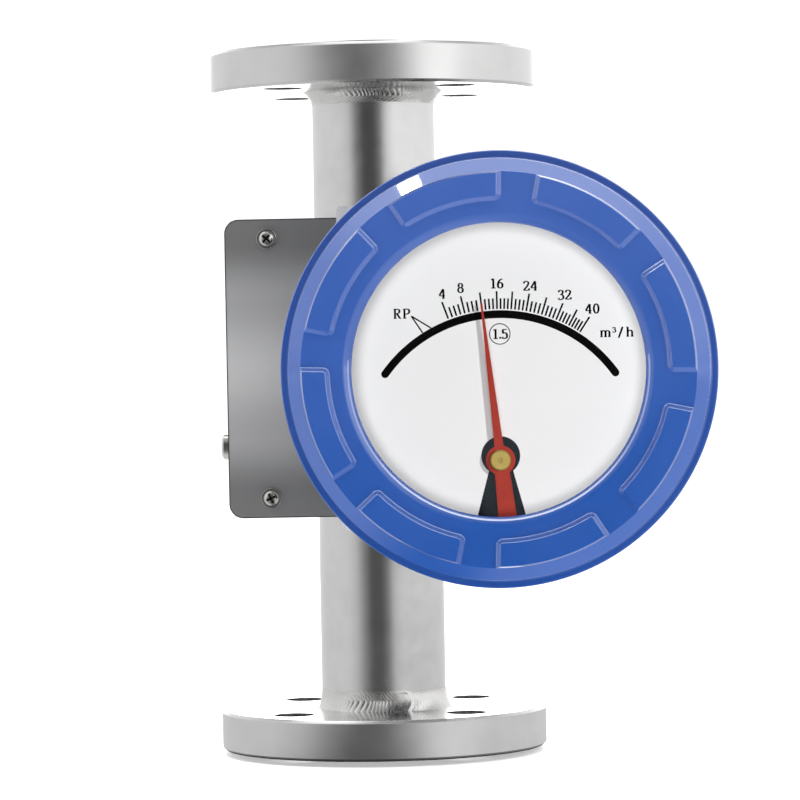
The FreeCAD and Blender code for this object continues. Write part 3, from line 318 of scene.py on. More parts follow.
# Pointer hub: turned brass with a small ring struck in its middle.
def hubBrass(look=brassLook):
    material, tree, shader = newFinish("hubBrass", look)
    reach = reachFrom(tree, objectPoint(tree, (pivotAt[0], 0, pivotAt[2])), (1, 0, 1))
    rings = ringGrain(tree, reach, look["turnPitch"])
    offRing = join(tree, reach, look["markRadius"], "SUBTRACT")
    offRing = addNode(tree, "Math", {0: offRing}, operation="ABSOLUTE").outputs[0]
    struck = spread(tree, offRing, 0, 1, 0, look["markWide"])
    turned = relief(tree, rings, look["turnDepth"])
    wire(tree, shader, mottled(tree, rings, look), spread(tree, rings, *look["rough"]),
         relief(tree, struck, look["markDepth"], turned))
    return material


# The paler blue, and how far above and below the head's axis it reaches, make a painted sheen from above.
paintLook = {"colour": (0.005, 0.066, 0.32), "pale": (0.04, 0.1, 0.365), "rough": (0.34, 0.46),
             "specular": 0.12, "coat": 1, "coatRough": 0.05, "coatBend": 1.8, "paintedSheenReach": 66 * mm,
             "cloud": 30 * mm, "cloudy": 0.12, "peel": 1.6 * mm, "peelDepth": 0.004 * mm}


# Blue enamel on cast aluminium: clear gloss with a faint orange peel, its colour painted paler towards the
# top as a painted sheen from above.
def bluePaint(look=paintLook):
    material, tree, shader = newFinish("bluePaint", look)
    point = objectPoint(tree)
    cloud = grain(tree, point, look["cloud"], detail=2)
    peel = grain(tree, point, look["peel"], detail=2)
    # Painted sheen: the blue turns paler from below the head's axis to above it, broken by clouds.
    lift = spread(tree, partOf(tree, point, "Z"), 0, 1, headAt[2] - look["paintedSheenReach"], headAt[2] + look["paintedSheenReach"])
    lift = join(tree, lift, spread(tree, cloud, -look["cloudy"], look["cloudy"]))
    peeled = relief(tree, peel, look["peelDepth"])
    tree.links.new(peeled, shader.inputs["Coat Normal"])
    wire(tree, shader, blend(tree, lift, [(0, look["colour"]), (1, look["pale"])]),
         spread(tree, cloud, *look["rough"]), peeled)
    return material


# Plastic, rubber, lacquer or ink: fine flecks, and clouds some tens of times as broad.
def speckled(name, look, cloudTimes=30):
    material, tree, shader = newFinish(name, look)
    point = objectPoint(tree)
    fleck = grain(tree, point, look["fleck"])
    cloud = grain(tree, point, look["fleck"] * cloudTimes, detail=2)
    wire(tree, shader, mottled(tree, cloud, look), spread(tree, fleck, *look["rough"]),
         relief(tree, fleck, look["fleckDepth"]))
    return material


dialLook = {"colour": (0.86, 0.86, 0.865), "rough": (0.42, 0.5), "specular": 0.25, "dull": 0.985,
            "fleck": 0.5 * mm, "fleckDepth": 0.001 * mm}
inkLook = {"colour": (0.001, 0.001, 0.001), "rough": (0.6, 0.7), "specular": 0.02, "dull": 0.8,
           "fleck": 0.2 * mm, "fleckDepth": 0.001 * mm}
pointerLook = {"colour": (0.41, 0.04, 0.026), "rough": (0.5, 0.6), "specular": 0.06, "dull": 0.9,
               "fleck": 0.3 * mm, "fleckDepth": 0.002 * mm}
chassisLook = {"colour": (0.017, 0.024, 0.031), "rough": (0.5, 0.65), "specular": 0.08, "dull": 0.8,
               "fleck": 0.35 * mm, "fleckDepth": 0.01 * mm}
rubberLook = {"colour": (0.018, 0.018, 0.019), "rough": (0.55, 0.75), "specular": 0.3, "dull": 0.75,
              "fleck": 0.4 * mm, "fleckDepth": 0.01 * mm}
magnetLook = {"colour": (0.035, 0.035, 0.038), "rough": (0.4, 0.6), "specular": 0.5, "dull": 0.7,
              "fleck": 0.5 * mm, "fleckDepth": 0.01 * mm}
terminalLook = {"colour": (0.03, 0.22, 0.08), "rough": (0.38, 0.5), "specular": 0.5, "dull": 0.85,
                "fleck": 0.3 * mm, "fleckDepth": 0.003 * mm}

boardLook = {"colour": (0.012, 0.12, 0.04), "trace": (0.03, 0.24, 0.08), "rough": (0.3, 0.3),
             "pitch": 2.2 * mm, "traceWide": (0.05, 0.12), "traceDepth": 0.03 * mm}


# Circuit board: solder mask over a maze of tracks.
def boardGreen(look=boardLook):
    material, tree, shader = newFinish("boardGreen", look)
    cells = addNode(tree, "TexVoronoi", {"Vector": objectPoint(tree), "Scale": 1 / look["pitch"]},
                    feature="DISTANCE_TO_EDGE", distance="MANHATTAN")
    track = spread(tree, cells.outputs[0], 1, 0, *look["traceWide"])
    tree.links.new(blend(tree, track, [(0, look["colour"]), (1, look["trace"])]), shader.inputs["Base Color"])
    tree.links.new(relief(tree, track, look["traceDepth"]), shader.inputs["Normal"])
    return material


glassLook = {"colour": (1, 1, 1), "rough": (0, 0), "bend": 1.15, "smear": 14 * mm, "smearRough": (0, 0.03),
             "smearSpan": (0.55, 0.8)}


# Window: clear flat glass, almost unmarked.
def windowGlass(look=glassLook):
    material, tree, shader = newFinish("windowGlass", look)
    shader.inputs["Transmission Weight"].default_value = 1
    shader.inputs["IOR"].default_value = look["bend"]
    smear = grain(tree, objectPoint(tree), look["smear"], detail=2)
    tree.links.new(spread(tree, smear, *look["smearRough"], *look["smearSpan"]), shader.inputs["Roughness"])
    return material


finishOf = {
    "machined_steel": machinedSteel(),
    "tube_steel": tubeSteel(),
    "weld_steel": weldSteel(),
    "plate_steel": plateSteel(),
    "inner_steel": spottedMetal("innerSteel", innerLook),
    "bright_screws": slottedMetal("brightScrew", screwLook),
    "bare_aluminium": spottedMetal("bareAluminium", castLook),
    "plated_plug": spottedMetal("platedPlug", plugLook),
    "hub_brass": hubBrass(),
    "blue_paint": bluePaint(),
    "white_dial": speckled("whiteDial", dialLook),
    "dial_ink": speckled("dialInk", inkLook),
    "red_pointer": speckled("redPointer", pointerLook),
    "black_chassis": speckled("blackChassis", chassisLook),
    "dark_rubber": speckled("darkRubber", rubberLook),
    "magnet_black": speckled("magnetBlack", magnetLook),
    "terminal_plastic": speckled("terminalPlastic", terminalLook),
    "board_green": boardGreen(),
    "window_glass": windowGlass(),
}
for node in nodes.values():
    for slot in node.material_slots:
        slot.material = finishOf[slot.material.name.split(".")[0]]
nodes["window_glass"].visible_shadow = nodes["window_glass"].visible_diffuse = False
print("finishes given to the frame's pieces:", len(finishOf))


# A grid of places becomes four-sided faces; loopRows and loopColumns close it on itself.
def gridFaces(rows, columns, loopRows=False, loopColumns=False):
    index = np.arange(rows * columns).reshape(rows, columns)
    if loopRows:
        index = np.vstack([index, index[:1]])
    if loopColumns:
        index = np.hstack([index, index[:, :1]])
    return np.stack([index[:-1, :-1], index[:-1, 1:], index[1:, 1:], index[1:, :-1]], -1).reshape(-1, 4)


def putInScene(name, data):
    piece = bpy.data.objects.new(name, data)
    bpy.context.scene.collection.objects.link(piece)
    return piece


def meshOf(name, places, faces, material, smooth=False):
    mesh = bpy.data.meshes.new(name)
    mesh.from_pydata(places.reshape(-1, 3).tolist(), [], faces if isinstance(faces, list) else faces.tolist())
    mesh.polygons.foreach_set("use_smooth", np.full(len(mesh.polygons), smooth))
    mesh.materials.append(material)
    return mesh


# A piece of the meter: it rides on a body, shows a slot's finish and may stand in for the frame's nodes.
def newPiece(name, places, faces, slot, body, stands=(), crease=40):
    mesh = meshOf(name, places, faces, finishOf[slot], smooth=True)
    mesh.set_sharp_from_angle(angle=math.radians(crease))
    piece = putInScene(name, mesh)
    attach(piece, body)
    if stands:
        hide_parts(*stands)
    return piece


# Joins parts, each with its places and faces, into one array of places and one list of faces.
def gathered(parts):
    places, faces = [], []
    for some, loops in parts:
        first = sum(len(done) for done in places)
        places.append(some)
        faces += [[first + corner for corner in loop] for loop in loops]
    return np.concatenate(places), faces


# Rounds the corners of a section: each corner is (radius, forward, fillet), and an arc of that fillet
# touches both of its sides, with one more place on each flat beside it to keep the flat's shading flat.
def roundedSection(corners, steps=4, support=0.12):
    section = []
    for number, (across, along, fillet) in enumerate(corners):
        here = np.array([across, along])
        before = np.array(corners[number - 1][:2]) - here
        after = np.array(corners[(number + 1) % len(corners)][:2]) - here
        if not fillet:
            section.append(here[None])
            continue
        before, after = before / np.linalg.norm(before), after / np.linalg.norm(after)
        half = math.acos(float(np.clip(before @ after, -1, 1))) / 2
        cut = fillet / math.tan(half)
        middle = here + (before + after) / np.linalg.norm(before + after) * fillet / math.sin(half)
        first, last = here + before * cut - middle, here + after * cut - middle
        swing = np.linspace(0, 1, steps + 1)[:, None]
        turn = math.pi - 2 * half
        arc = (first * np.sin((1 - swing) * turn) + last * np.sin(swing * turn)) / math.sin(turn)
        section += [here[None] + before * (cut + support), middle + arc, here[None] + after * (cut + support)]
    return np.concatenate(section)


# Sizes in millimetres and degrees: the cover's section, its folds, its lugs, and how finely they are drawn.
cover = {"bore": 64, "back": 66.3, "grooveIn": 66.2, "grooveOut": 69, "grooveFloor": 68.7, "ledge": 73.55,
         "ledgeFront": 77, "wall": 70.4, "bevelBack": 85.5, "bevelIn": 66, "front": 90, "lipOut": 51.9,
         "window": 49, "lipFront": 87.9, "lipBulge": 0.36, "lipSteps": 10, "seat": 86, "glass": 54.4,
         "skirtBack": 74.2, "skirt": 57.1, "inside": 81.2,
         "ledgeFold": 0.5, "edgeFold": 0.45, "neckFold": 1.1, "crownFold": 0.25, "windowFold": 0.3,
         "lugs": 8, "lugFirst": 29.4, "lugSpan": 34.6, "lugIn": 56.2, "lugCorner": 2.2, "lugHigh": 1.8,
         "lugSlope": 1.41, "lugCrown": 65.35, "soft": 0.2, "wallSoft": 0.2 / 3,
         "wallStep": 0.08, "wallDeep": 1.1, "topFrom": 1.4, "topTo": 0.8, "topRows": 6, "slopeStep": 0.09,
         "slopeSpare": 0.4, "flatOff": (0.7, 0.4),
         "endBefore": 0.5, "endAfter": 3, "endColumns": 30, "topColumns": 20, "gapColumns": 5}


# Names of the section's corners, as (radius, forward, fold where it has one): up to the front ring's inner
# edge, and on from the end of the lip's roll.
outsideCorners = [("bore", "inside"), ("bore", "back"), ("grooveIn", "back"), ("grooveIn", "grooveFloor"),
                  ("grooveOut", "grooveFloor"), ("grooveOut", "back"), ("ledge", "back", "ledgeFold"),
                  ("ledge", "ledgeFront", "edgeFold"), ("wall", "ledgeFront", "neckFold"),
                  ("wall", "bevelBack", "edgeFold"), ("bevelIn", "front", "crownFold"), ("lipOut", "front")]
insideCorners = [("window", "lipFront", "windowFold"), ("window", "seat"), ("glass", "seat"),
                 ("glass", "skirtBack"), ("skirt", "skirtBack"), ("skirt", "inside")]


def cornersOf(names, size):
    return [(size[radius], size[forward], size[fold[0]] if fold else 0) for radius, forward, *fold in names]


# Zero below, straight above, with a short parabola between: it rounds a fold.
def softRise(value, soft):
    return np.where(value < -soft, 0, np.where(value > soft, value, (value + soft) ** 2 / (4 * soft)))


def softStep(depth, width, soft):
    return (softRise(depth, soft) - softRise(depth - width, soft)) / width


# Height of the lugs over the front ring: the depth inside a ring sector with rounded inner corners,
# turned into a slope, and cut off by a steep wall at the bevel.
def lugHeight(radius, clockwise, size):
    share = 2 * math.pi / size["lugs"]
    off = np.mod(clockwise - math.radians(size["lugFirst"]) + share / 2, share) - share / 2
    inDepth = radius - size["lugIn"]
    endDepth = radius * np.sin(math.radians(size["lugSpan"] / 2) - np.abs(off))
    corner = size["lugCorner"]
    near = (inDepth < corner) & (endDepth < corner)
    rounded = corner - np.hypot(corner - inDepth, corner - endDepth)
    depth = np.where(near, rounded, np.minimum(inDepth, endDepth))
    wall = softStep(size["bevelIn"] - radius, size["bevelIn"] - size["lugCrown"], size["wallSoft"])
    return size["lugHigh"] * np.minimum(softStep(depth, size["lugSlope"], size["soft"]), wall)


# The lip's roll: a parabola that bulges out of the straight line from the front ring to the window.
def lipRoll(size):
    first = np.array((size["lipOut"], size["front"]))
    last = np.array((size["window"], size["lipFront"]))
    out = np.array([first[1] - last[1], last[0] - first[0]]) * (-1, -1) / np.linalg.norm(last - first)
    return [(*(first + (last - first) * part + out * size["lipBulge"] * 4 * part * (1 - part)), 0)
            for part in np.linspace(0, 1, size["lipSteps"])[1:-1]]


# Radii of the rows on the front ring: close at the lugs' steep wall and on their inner slope, wide between.
def frontRows(outer, inner, size):
    slope, spare = size["lugIn"] + size["lugSlope"], size["slopeSpare"]
    return np.concatenate([
        np.arange(outer - size["wallStep"], outer - size["wallDeep"], -size["wallStep"]),
        np.linspace(outer - size["topFrom"], slope + size["topTo"], size["topRows"]),
        np.arange(slope + spare, size["lugIn"] - spare, -size["slopeStep"]),
        [size["lugIn"] - size["flatOff"][0], inner + size["flatOff"][1]]])


# Angles of the columns: one lug and its share of the gaps, close at the lug's two ends, then all lugs round.
def lugColumns(size):
    half, share = size["lugSpan"] / 2, 360 / size["lugs"]
    before, after = size["endBefore"], size["endAfter"]
    oneLug = np.concatenate([np.linspace(-share / 2, -half - before, size["gapColumns"])[:-1],
                             np.linspace(-half - before, -half + after, size["endColumns"]),
                             np.linspace(-half + after, half - after, size["topColumns"])[1:-1],
                             np.linspace(half - after, half + before, size["endColumns"]),
                             np.linspace(half + before, share / 2, size["gapColumns"])[1:-1]])
    return np.radians((oneLug + size["lugFirst"] + share * np.arange(size["lugs"])[:, None]).ravel())


# Surface of revolution of a rounded section; on its front ring each place is lifted by the lugs' height.
def makeCover(size=cover):
    section = roundedSection(cornersOf(outsideCorners, size) + lipRoll(size) + cornersOf(insideCorners, size))
    flat = np.flatnonzero(np.abs(section[:, 1] - size["front"]) < hair)
    rows = frontRows(section[flat[1], 0], section[flat[2], 0], size)
    ring = np.stack([rows, np.full_like(rows, size["front"])], -1)
    section = np.concatenate([section[:flat[1] + 1], ring, section[flat[2]:]])
    radius, angle = np.meshgrid(section[:, 0], lugColumns(size))
    forward = np.broadcast_to(section[:, 1], radius.shape)
    raised = (radius < size["bevelIn"]) & (forward > size["front"] - hair)
    forward = forward + np.where(raised, lugHeight(radius, angle, size), 0)
    places = faceOn(headAt, radius * mm, angle, forward * mm)
    faces = gridFaces(*radius.shape, loopRows=True, loopColumns=True)
    return newPiece("indicatorCover", places, faces[:, ::-1], "blue_paint", "cover", ["cover"])


coverPiece = makeCover()
print("cover made:", len(coverPiece.data.polygons), "faces")


# Beads that hold the flanges to the tube. Each leaves the tube's side and widens towards the flange as a
# power of the way there, with the welder's crescent ripples on it and one overlap where the run ends. A
# second small bead lies inside the flange's bore. Sizes in millimetres and degrees; "wander" and "uneven" are
# (how far, waves round, phase), and "crown" is (where it starts, share of the width, power).
weldBead = {"tube": 22, "bury": 0.3, "wall": 3, "inset": 3, "rootHigh": 0.2, "flare": 2.1, "across": 18,
            "around": 1500, "pitch": 1.5, "high": 0.3, "upperSkew": 2.6, "lowerSkew": 0.8,
            "wander": (0.5, 9, 0), "sharp": 0.7, "faint": 0.12, "fadeIn": 10, "fadeOut": 6, "fadeSoft": 2,
            "uneven": (0.1, 5, 1), "crown": (0.08, 0.85, 0.8), "toe": 6, "overlapLong": 20,
            "overlapHigh": 0.6, "overlapBend": 6, "overlapEdge": 3,
            "runs": {"inlet_welds": {"flange": "inlet_flange", "side": 1, "leg": 2.5, "lean": 1.0, "rise": 7,
                                     "strong": (-38, 10), "overlap": 27},
                     "outlet_welds": {"flange": "outlet_flange", "side": 0, "leg": 2.7, "lean": 0,
                                      "rise": 4.8, "strong": (-30, 34), "overlap": 70}}}


# How far the bead stands proud: ripples are a sine's size raised to a power, strong on one stretch of the run
# and faint elsewhere; the overlap is a ramp with a curved edge; all of it swells across the bead's middle.
def beadProud(run, turn, part, size):
    start, end = run["strong"]
    fadeIn = softStep(turn - start, size["fadeIn"], size["fadeSoft"])
    fadeOut = softStep(end - turn, size["fadeOut"], size["fadeSoft"])
    shown = size["faint"] + (1 - size["faint"]) * fadeIn * fadeOut
    skew = np.where(part < 0.5, size["upperSkew"], size["lowerSkew"]) * np.abs(2 * part - 1)
    wander, swell = (far * np.sin(np.radians(turn) * waves + phase)
                     for far, waves, phase in (size["wander"], size["uneven"]))
    beat = np.radians(turn) * size["tube"] / size["pitch"] + wander + skew
    crescent = np.abs(np.sin(math.pi * beat)) ** size["sharp"]
    before = run["overlap"] - size["overlapBend"] * (2 * part - 1) ** 2 - turn
    overlap = np.clip(1 - before / size["overlapLong"], 0, 1)
    overlap = overlap * np.clip(before / size["overlapEdge"] + 1, 0, 1)
    proud = size["high"] * crescent * shown + size["overlapHigh"] * overlap + swell
    start, share, power = size["crown"]
    crown = np.sin(math.pi * np.clip(part * share + start, 0, 1)) ** power
    return proud * crown * np.minimum(part * size["toe"], 1)


def makeWeldBead(node, size=weldBead):
    run = size["runs"][node]
    inward = 1 if run["side"] else -1
    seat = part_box(run["flange"])[run["side"]][2] / mm
    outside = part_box(node)[1 - run["side"]][2] / mm
    turn = np.linspace(-180, 180, size["around"], endpoint=False)[:, None]
    part = np.linspace(0, 1, size["across"])[None]
    leg = run["leg"] + run["lean"] * np.sin(np.radians(turn))
    reach = size["tube"] + leg * part ** size["flare"] + beadProud(run, turn, part, size)
    height = seat + inward * run["rise"] * (1 - part) + 0 * turn
    behind = size["tube"] - size["bury"]
    reach = np.hstack([reach, np.full((len(turn), 2), behind)])
    height = np.hstack([height, np.full_like(turn, seat), np.full_like(turn, seat + inward * run["rise"])])
    rootReach = np.array([[size["tube"] - size["wall"], size["tube"], size["tube"]]]) + 0 * turn
    rootHeight = outside + inward * size["inset"] * np.array([[1, size["rootHigh"], 1]]) + 0 * turn
    parts = []
    for ringReach, ringHeight in ((reach, height), (rootReach, rootHeight)):
        across = ringReach * np.sin(np.radians(turn))
        along = -ringReach * np.cos(np.radians(turn))
        grid = np.stack([across, along, ringHeight], -1) * mm
        ring = gridFaces(*grid.shape[:2], loopRows=True, loopColumns=True)
        parts.append((grid.reshape(-1, 3), (ring[:, ::-1] if run["side"] else ring).tolist()))
    return newPiece(node.replace("_welds", "WeldBead"), *gathered(parts), "weld_steel", "meter_body", [node],
                    crease=50)


for node in weldBead["runs"]:
    makeWeldBead(node)
print("weld beads made")


# Two round-headed screws with crossed slots, each on its washer. All sizes in millimetres.
plateScrew = {"head": 2.8, "high": 2, "roundness": 2.5, "slot": 0.4, "slotLong": 1.75, "slotDeep": 1.3,
              "slotSide": 0.2, "slotEnd": 0.3, "slotSoft": 0.05, "slotRise": 0.3, "turn": 24, "washer": 3.5,
              "washerHigh": 0.8, "washerFold": 0.2, "shank": 2.5, "shankEnd": 19, "shankChamfer": 1,
              "tip": 0.2, "cadHead": 4.6, "firstRing": 0.02, "rings": 50, "around": 120}


# A head's height falls from its middle as a power of the reach; two crossing bars are pressed into it.
# Also gives how deep in the crossed slot each place lies, from 0 to 1.
def makeScrew(across, up, seat, turn, size):
    steps = np.linspace(size["firstRing"], 1, size["rings"])
    reach = size["head"] * steps
    around = onceRound(size["around"])
    dome = size["high"] * (1 - steps ** size["roundness"]) ** (1 / size["roundness"]) + 0 * around
    east = np.abs(reach * np.sin(around + turn))
    north = np.abs(reach * np.cos(around + turn))
    bars = [np.minimum(softStep(size["slot"] - one, size["slotSide"], size["slotSoft"]),
                       softStep(size["slotLong"] - other, size["slotEnd"], size["slotSoft"]))
            for one, other in ((east, north), (north, east))]
    pressed = np.maximum(*bars) * (1 - size["slotRise"] * steps)
    end = size["shankEnd"] - seat
    rest = [(size["shank"], 0), (size["shank"], end + size["shankChamfer"]), (size["tip"], end)]
    reach = np.concatenate([reach, [place[0] for place in rest]])[None] + 0 * around
    lower = [np.full_like(around, place[1]) for place in rest]
    forward = seat + np.hstack([dome - size["slotDeep"] * pressed] + lower)
    places = faceOn((across * mm, 0, up * mm), reach * mm, around, forward * mm)
    rows = np.arange(size["around"]) * reach.shape[1]
    caps = [rows[::-1].tolist(), (rows + reach.shape[1] - 1).tolist()]
    deep = np.hstack([pressed] + [0 * around] * len(rest))
    return places.reshape(-1, 3), gridFaces(*reach.shape, loopRows=True).tolist() + caps, deep.ravel()


def makeWasher(across, up, seat, size):
    back = seat - size["washerHigh"]
    corners = roundedSection([(size["shank"], back, 0), (size["washer"], back, 0),
                              (size["washer"], seat, size["washerFold"]), (size["shank"], seat, 0)])
    around = onceRound(size["around"])
    reach = corners[:, 0][None] + 0 * around
    places = faceOn((across * mm, 0, up * mm), reach * mm, around, corners[:, 1][None] * mm).reshape(-1, 3)
    return places, gridFaces(*reach.shape, loopRows=True, loopColumns=True).tolist(), np.zeros(len(places))


def makePlateScrews(size=plateScrew):
    low, high = (np.array(corner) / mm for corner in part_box("plate_screws"))
    seat = -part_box("front_plate")[0][1] / mm + size["washerHigh"]
    middle = (low[0] + high[0]) / 2
    parts = []
    for number, up in enumerate((low[2] + size["cadHead"], high[2] - size["cadHead"])):
        turn = math.radians(size["turn"] * (number + 1))
        parts += [makeScrew(middle, up, seat, turn, size), makeWasher(middle, up, seat, size)]
    places, faces = gathered([part[:2] for part in parts])
    piece = newPiece("plateScrewSet", places, faces, "bright_screws", "meter_body",
                     ["plate_screws", "plate_washers"])
    deep = piece.data.attributes.new("slotDepth", "FLOAT", "POINT")
    deep.data.foreach_set("value", np.concatenate([part[2] for part in parts]))


makePlateScrews()
print("plate screws made")


# Dial print. A sign is a few strokes on a square of height 1; a broad pen held level draws it, thick
# downwards and thin sideways. Signs stand level. A word is (signs, degrees clockwise, reach, how wide), about
# the slot's eye. Sizes in millimetres.
dialPrint = {"eyeRise": 1.4, "high": 0.1, "tall": 3.25, "thick": 0.69, "thin": 0.34, "gap": 0.12,
             "small": 0.52, "smallTop": 0.98, "smallPen": 0.72, "line": 0.5, "ringLine": 0.32,
             "ringSides": 72,
             "words": [("4", -18.9, 58, 1.2), ("8", -12.6, 58.1, 1.2), ("16", -0.5, 58, 1.22),
                       ("24", 10.8, 58, 1.22), ("32", 22.6, 58.2, 1.22), ("40", 32.8, 58.2, 1.22),
                       ("m^/ h", 44.1, 57, 1.36), ("RP", -34, 58.4, 1.24), ("1.5", 0.5, 41, 1.2)],
             "ring": (0.6, 41, 3.45), "leaders": [((-31.6, 55.8), (-31.4, 49)), ((-31.6, 55.8), (-27.6, 49))],
             "marks": [-19.9, -13.1, -6.3, -0.4, 5.1, 11, 17.2, 23.2, 28.6, 33.6], "between": 4,
             "markFrom": 49.4, "markTo": 55.4, "smallMarkTo": 53, "markLine": 0.62}
signs = {
    "0": [("oval", (0.27, 0.5), (0.2, 0.47))],
    "1": [("line", (0.3, 1), (0.3, 0.02)), ("line", (0.3, 0.98), (0.12, 0.88)),
          ("line", (0.12, 0.03), (0.48, 0.03))],
    "2": [("bow", (0.07, 0.75), (0.13, 0.92), (0.28, 0.98), (0.44, 0.88), (0.45, 0.7), (0.34, 0.45),
           (0.18, 0.22), (0.05, 0.04)),
          ("line", (0.04, 0.05), (0.5, 0.05)), ("line", (0.5, 0.04), (0.53, 0.24))],
    "3": [("bow", (0.07, 0.78), (0.14, 0.93), (0.27, 0.98), (0.42, 0.89), (0.42, 0.68), (0.32, 0.56),
           (0.2, 0.53)),
          ("bow", (0.2, 0.53), (0.37, 0.5), (0.47, 0.36), (0.46, 0.14), (0.28, 0.02), (0.13, 0.04),
           (0.06, 0.18))],
    "4": [("line", (0.37, 0.98), (0.04, 0.3)), ("line", (0.04, 0.29), (0.54, 0.29)),
          ("line", (0.39, 0.98), (0.39, 0.02)), ("line", (0.27, 0.03), (0.51, 0.03))],
    "5": [("line", (0.46, 0.95), (0.12, 0.95)), ("line", (0.13, 0.95), (0.11, 0.55)),
          ("bow", (0.11, 0.55), (0.26, 0.61), (0.42, 0.53), (0.48, 0.32), (0.42, 0.1), (0.26, 0.02),
           (0.13, 0.04), (0.06, 0.18))],
    "6": [("bow", (0.47, 0.96), (0.28, 0.85), (0.14, 0.62), (0.09, 0.34), (0.14, 0.1), (0.28, 0.02),
           (0.43, 0.1), (0.48, 0.3), (0.42, 0.51), (0.29, 0.58), (0.16, 0.52), (0.1, 0.4))],
    "8": [("oval", (0.28, 0.75), (0.165, 0.22)), ("oval", (0.28, 0.28), (0.205, 0.255))],
    "R": [("line", (0.16, 0.98), (0.16, 0.02)), ("line", (0.04, 0.03), (0.29, 0.03)),
          ("line", (0.04, 0.97), (0.16, 0.97)), ("line", (0.33, 0.5), (0.56, 0.03)),
          ("bow", (0.16, 0.97), (0.36, 0.97), (0.51, 0.88), (0.52, 0.66), (0.38, 0.52), (0.16, 0.5)),
          ("line", (0.55, 0.03), (0.67, 0.03))],
    "P": [("line", (0.16, 0.98), (0.16, 0.02)), ("line", (0.04, 0.03), (0.3, 0.03)),
          ("line", (0.04, 0.97), (0.16, 0.97)),
          ("bow", (0.16, 0.97), (0.38, 0.97), (0.54, 0.87), (0.54, 0.6), (0.38, 0.47), (0.16, 0.45))],
    "m": [("line", (0.04, 0.63), (0.14, 0.65)), ("line", (0.14, 0.66), (0.14, 0.02)),
          ("line", (0.04, 0.03), (0.25, 0.03)), ("line", (0.34, 0.03), (0.54, 0.03)),
          ("bow", (0.14, 0.5), (0.24, 0.64), (0.37, 0.62), (0.44, 0.46), (0.44, 0.02)),
          ("bow", (0.44, 0.5), (0.54, 0.64), (0.67, 0.62), (0.74, 0.46), (0.74, 0.02)),
          ("line", (0.64, 0.03), (0.84, 0.03))],
    "h": [("line", (0.04, 0.98), (0.14, 1)), ("line", (0.14, 1), (0.14, 0.02)),
          ("line", (0.04, 0.03), (0.25, 0.03)),
          ("bow", (0.14, 0.5), (0.26, 0.64), (0.4, 0.62), (0.47, 0.46), (0.47, 0.02)),
          ("line", (0.36, 0.03), (0.58, 0.03))],
    "/": [("line", (0.42, 1.02), (0.1, -0.12))],
    ".": [("line", (0.09, 0.19), (0.09, 0))],
    " ": [],
}
signs["^"] = signs["3"]   # drawn small and raised


# A smooth curve through the points: on each span a cubic whose slope at a point is half the step between
# its neighbours.
def bowThrough(points, steps=10):
    ends = np.vstack([2 * points[0] - points[1], points, 2 * points[-1] - points[-2]])
    share = np.linspace(0, 1, steps, endpoint=False)[None, :, None]
    before, here, after, beyond = (ends[shift:len(ends) - 3 + shift, None] for shift in range(4))
    curve = (2 * here + (after - before) * share + (2 * before - 5 * here + 4 * after - beyond) * share ** 2
             + (3 * here - before - 3 * after + beyond) * share ** 3) / 2
    return np.vstack([curve.reshape(-1, 2), points[-1:]])


# A stroke is a flat bar whose width follows the pen: from thin to thick by a power of how steep it runs.
def inkStroke(line, thick, thin, face, high, closed, power=1.4):
    step = np.roll(line, -1, 0) - np.roll(line, 1, 0) if closed else np.gradient(line, axis=0)
    way = step / np.linalg.norm(step, axis=1, keepdims=True)
    half = (thin + (thick - thin) * np.abs(way[:, 1:]) ** power) / 2
    side = np.stack([-way[:, 1], way[:, 0]], -1) * half
    edges = [(line - side, face), (line - side, face + high), (line + side, face + high), (line + side, face)]
    places = np.stack([np.stack([edge[:, 0], np.full(len(edge), -forward), edge[:, 1]], -1)
                       for edge, forward in edges], 1)
    faces = gridFaces(*places.shape[:2], loopRows=closed, loopColumns=True).tolist()
    last = len(line) * 4 - 4
    caps = [] if closed else [[0, 3, 2, 1], [last, last + 1, last + 2, last + 3]]
    return places.reshape(-1, 3), faces + caps


def oval(middle, reach, sides=40):
    around = onceRound(sides)
    return middle + reach * np.hstack([np.sin(around), np.cos(around)])


# One sign's strokes as (line, whether it closes on itself).
def signLines(sign, size):
    for kind, *points in signs[sign]:
        points = np.array(points)
        if kind == "oval":
            line = oval(*points)
        else:
            line = bowThrough(points) if kind == "bow" else np.linspace(*points, 3)
        if sign == "^":
            line = line * size["small"] + (0, size["smallTop"] - size["small"])
        yield line, kind == "oval"


# Every stroke of the print as (line, thick, thin, closed), placed round the slot's eye: the words, the hoop
# round a word, the leaders and the scale's marks.
def printStrokes(size):
    eye = np.array([pivotAt[0], pivotAt[2]]) / mm + (0, size["eyeRise"])

    def spot(angle, reach):
        return eye + reach * np.array([math.sin(math.radians(angle)), math.cos(math.radians(angle))])

    for word, angle, reach, wide in size["words"]:
        strokes, along = [], 0
        for sign in word:
            lines = [(line + (along, 0), closed) for line, closed in signLines(sign, size)]
            strokes += [(line, closed, size["smallPen"] if sign == "^" else 1) for line, closed in lines]
            along = max([line[:, 0].max() for line, closed in lines] + [along]) + size["gap"]
        tall = size["tall"] * np.array([wide, 1])
        start = spot(angle, reach) - np.array([along - size["gap"], 1]) / 2 * tall
        for line, closed, pen in strokes:
            yield start + line * tall, size["thick"] * pen, size["thin"] * pen, closed
    angle, reach, radius = size["ring"]
    yield oval(spot(angle, reach), radius, size["ringSides"]), size["ringLine"], size["ringLine"], True
    for ends in size["leaders"]:
        yield np.linspace(spot(*ends[0]), spot(*ends[1]), 3), size["line"], size["line"], False
    known = range(len(size["marks"]))
    steps = np.arange(0, known[-1] + hair, 1 / size["between"])
    for number, angle in enumerate(np.interp(steps, known, size["marks"])):
        end = size["smallMarkTo"] if number % size["between"] else size["markTo"]
        line = np.linspace(spot(angle, size["markFrom"]), spot(angle, end), 3)
        yield line, size["markLine"], size["markLine"], False


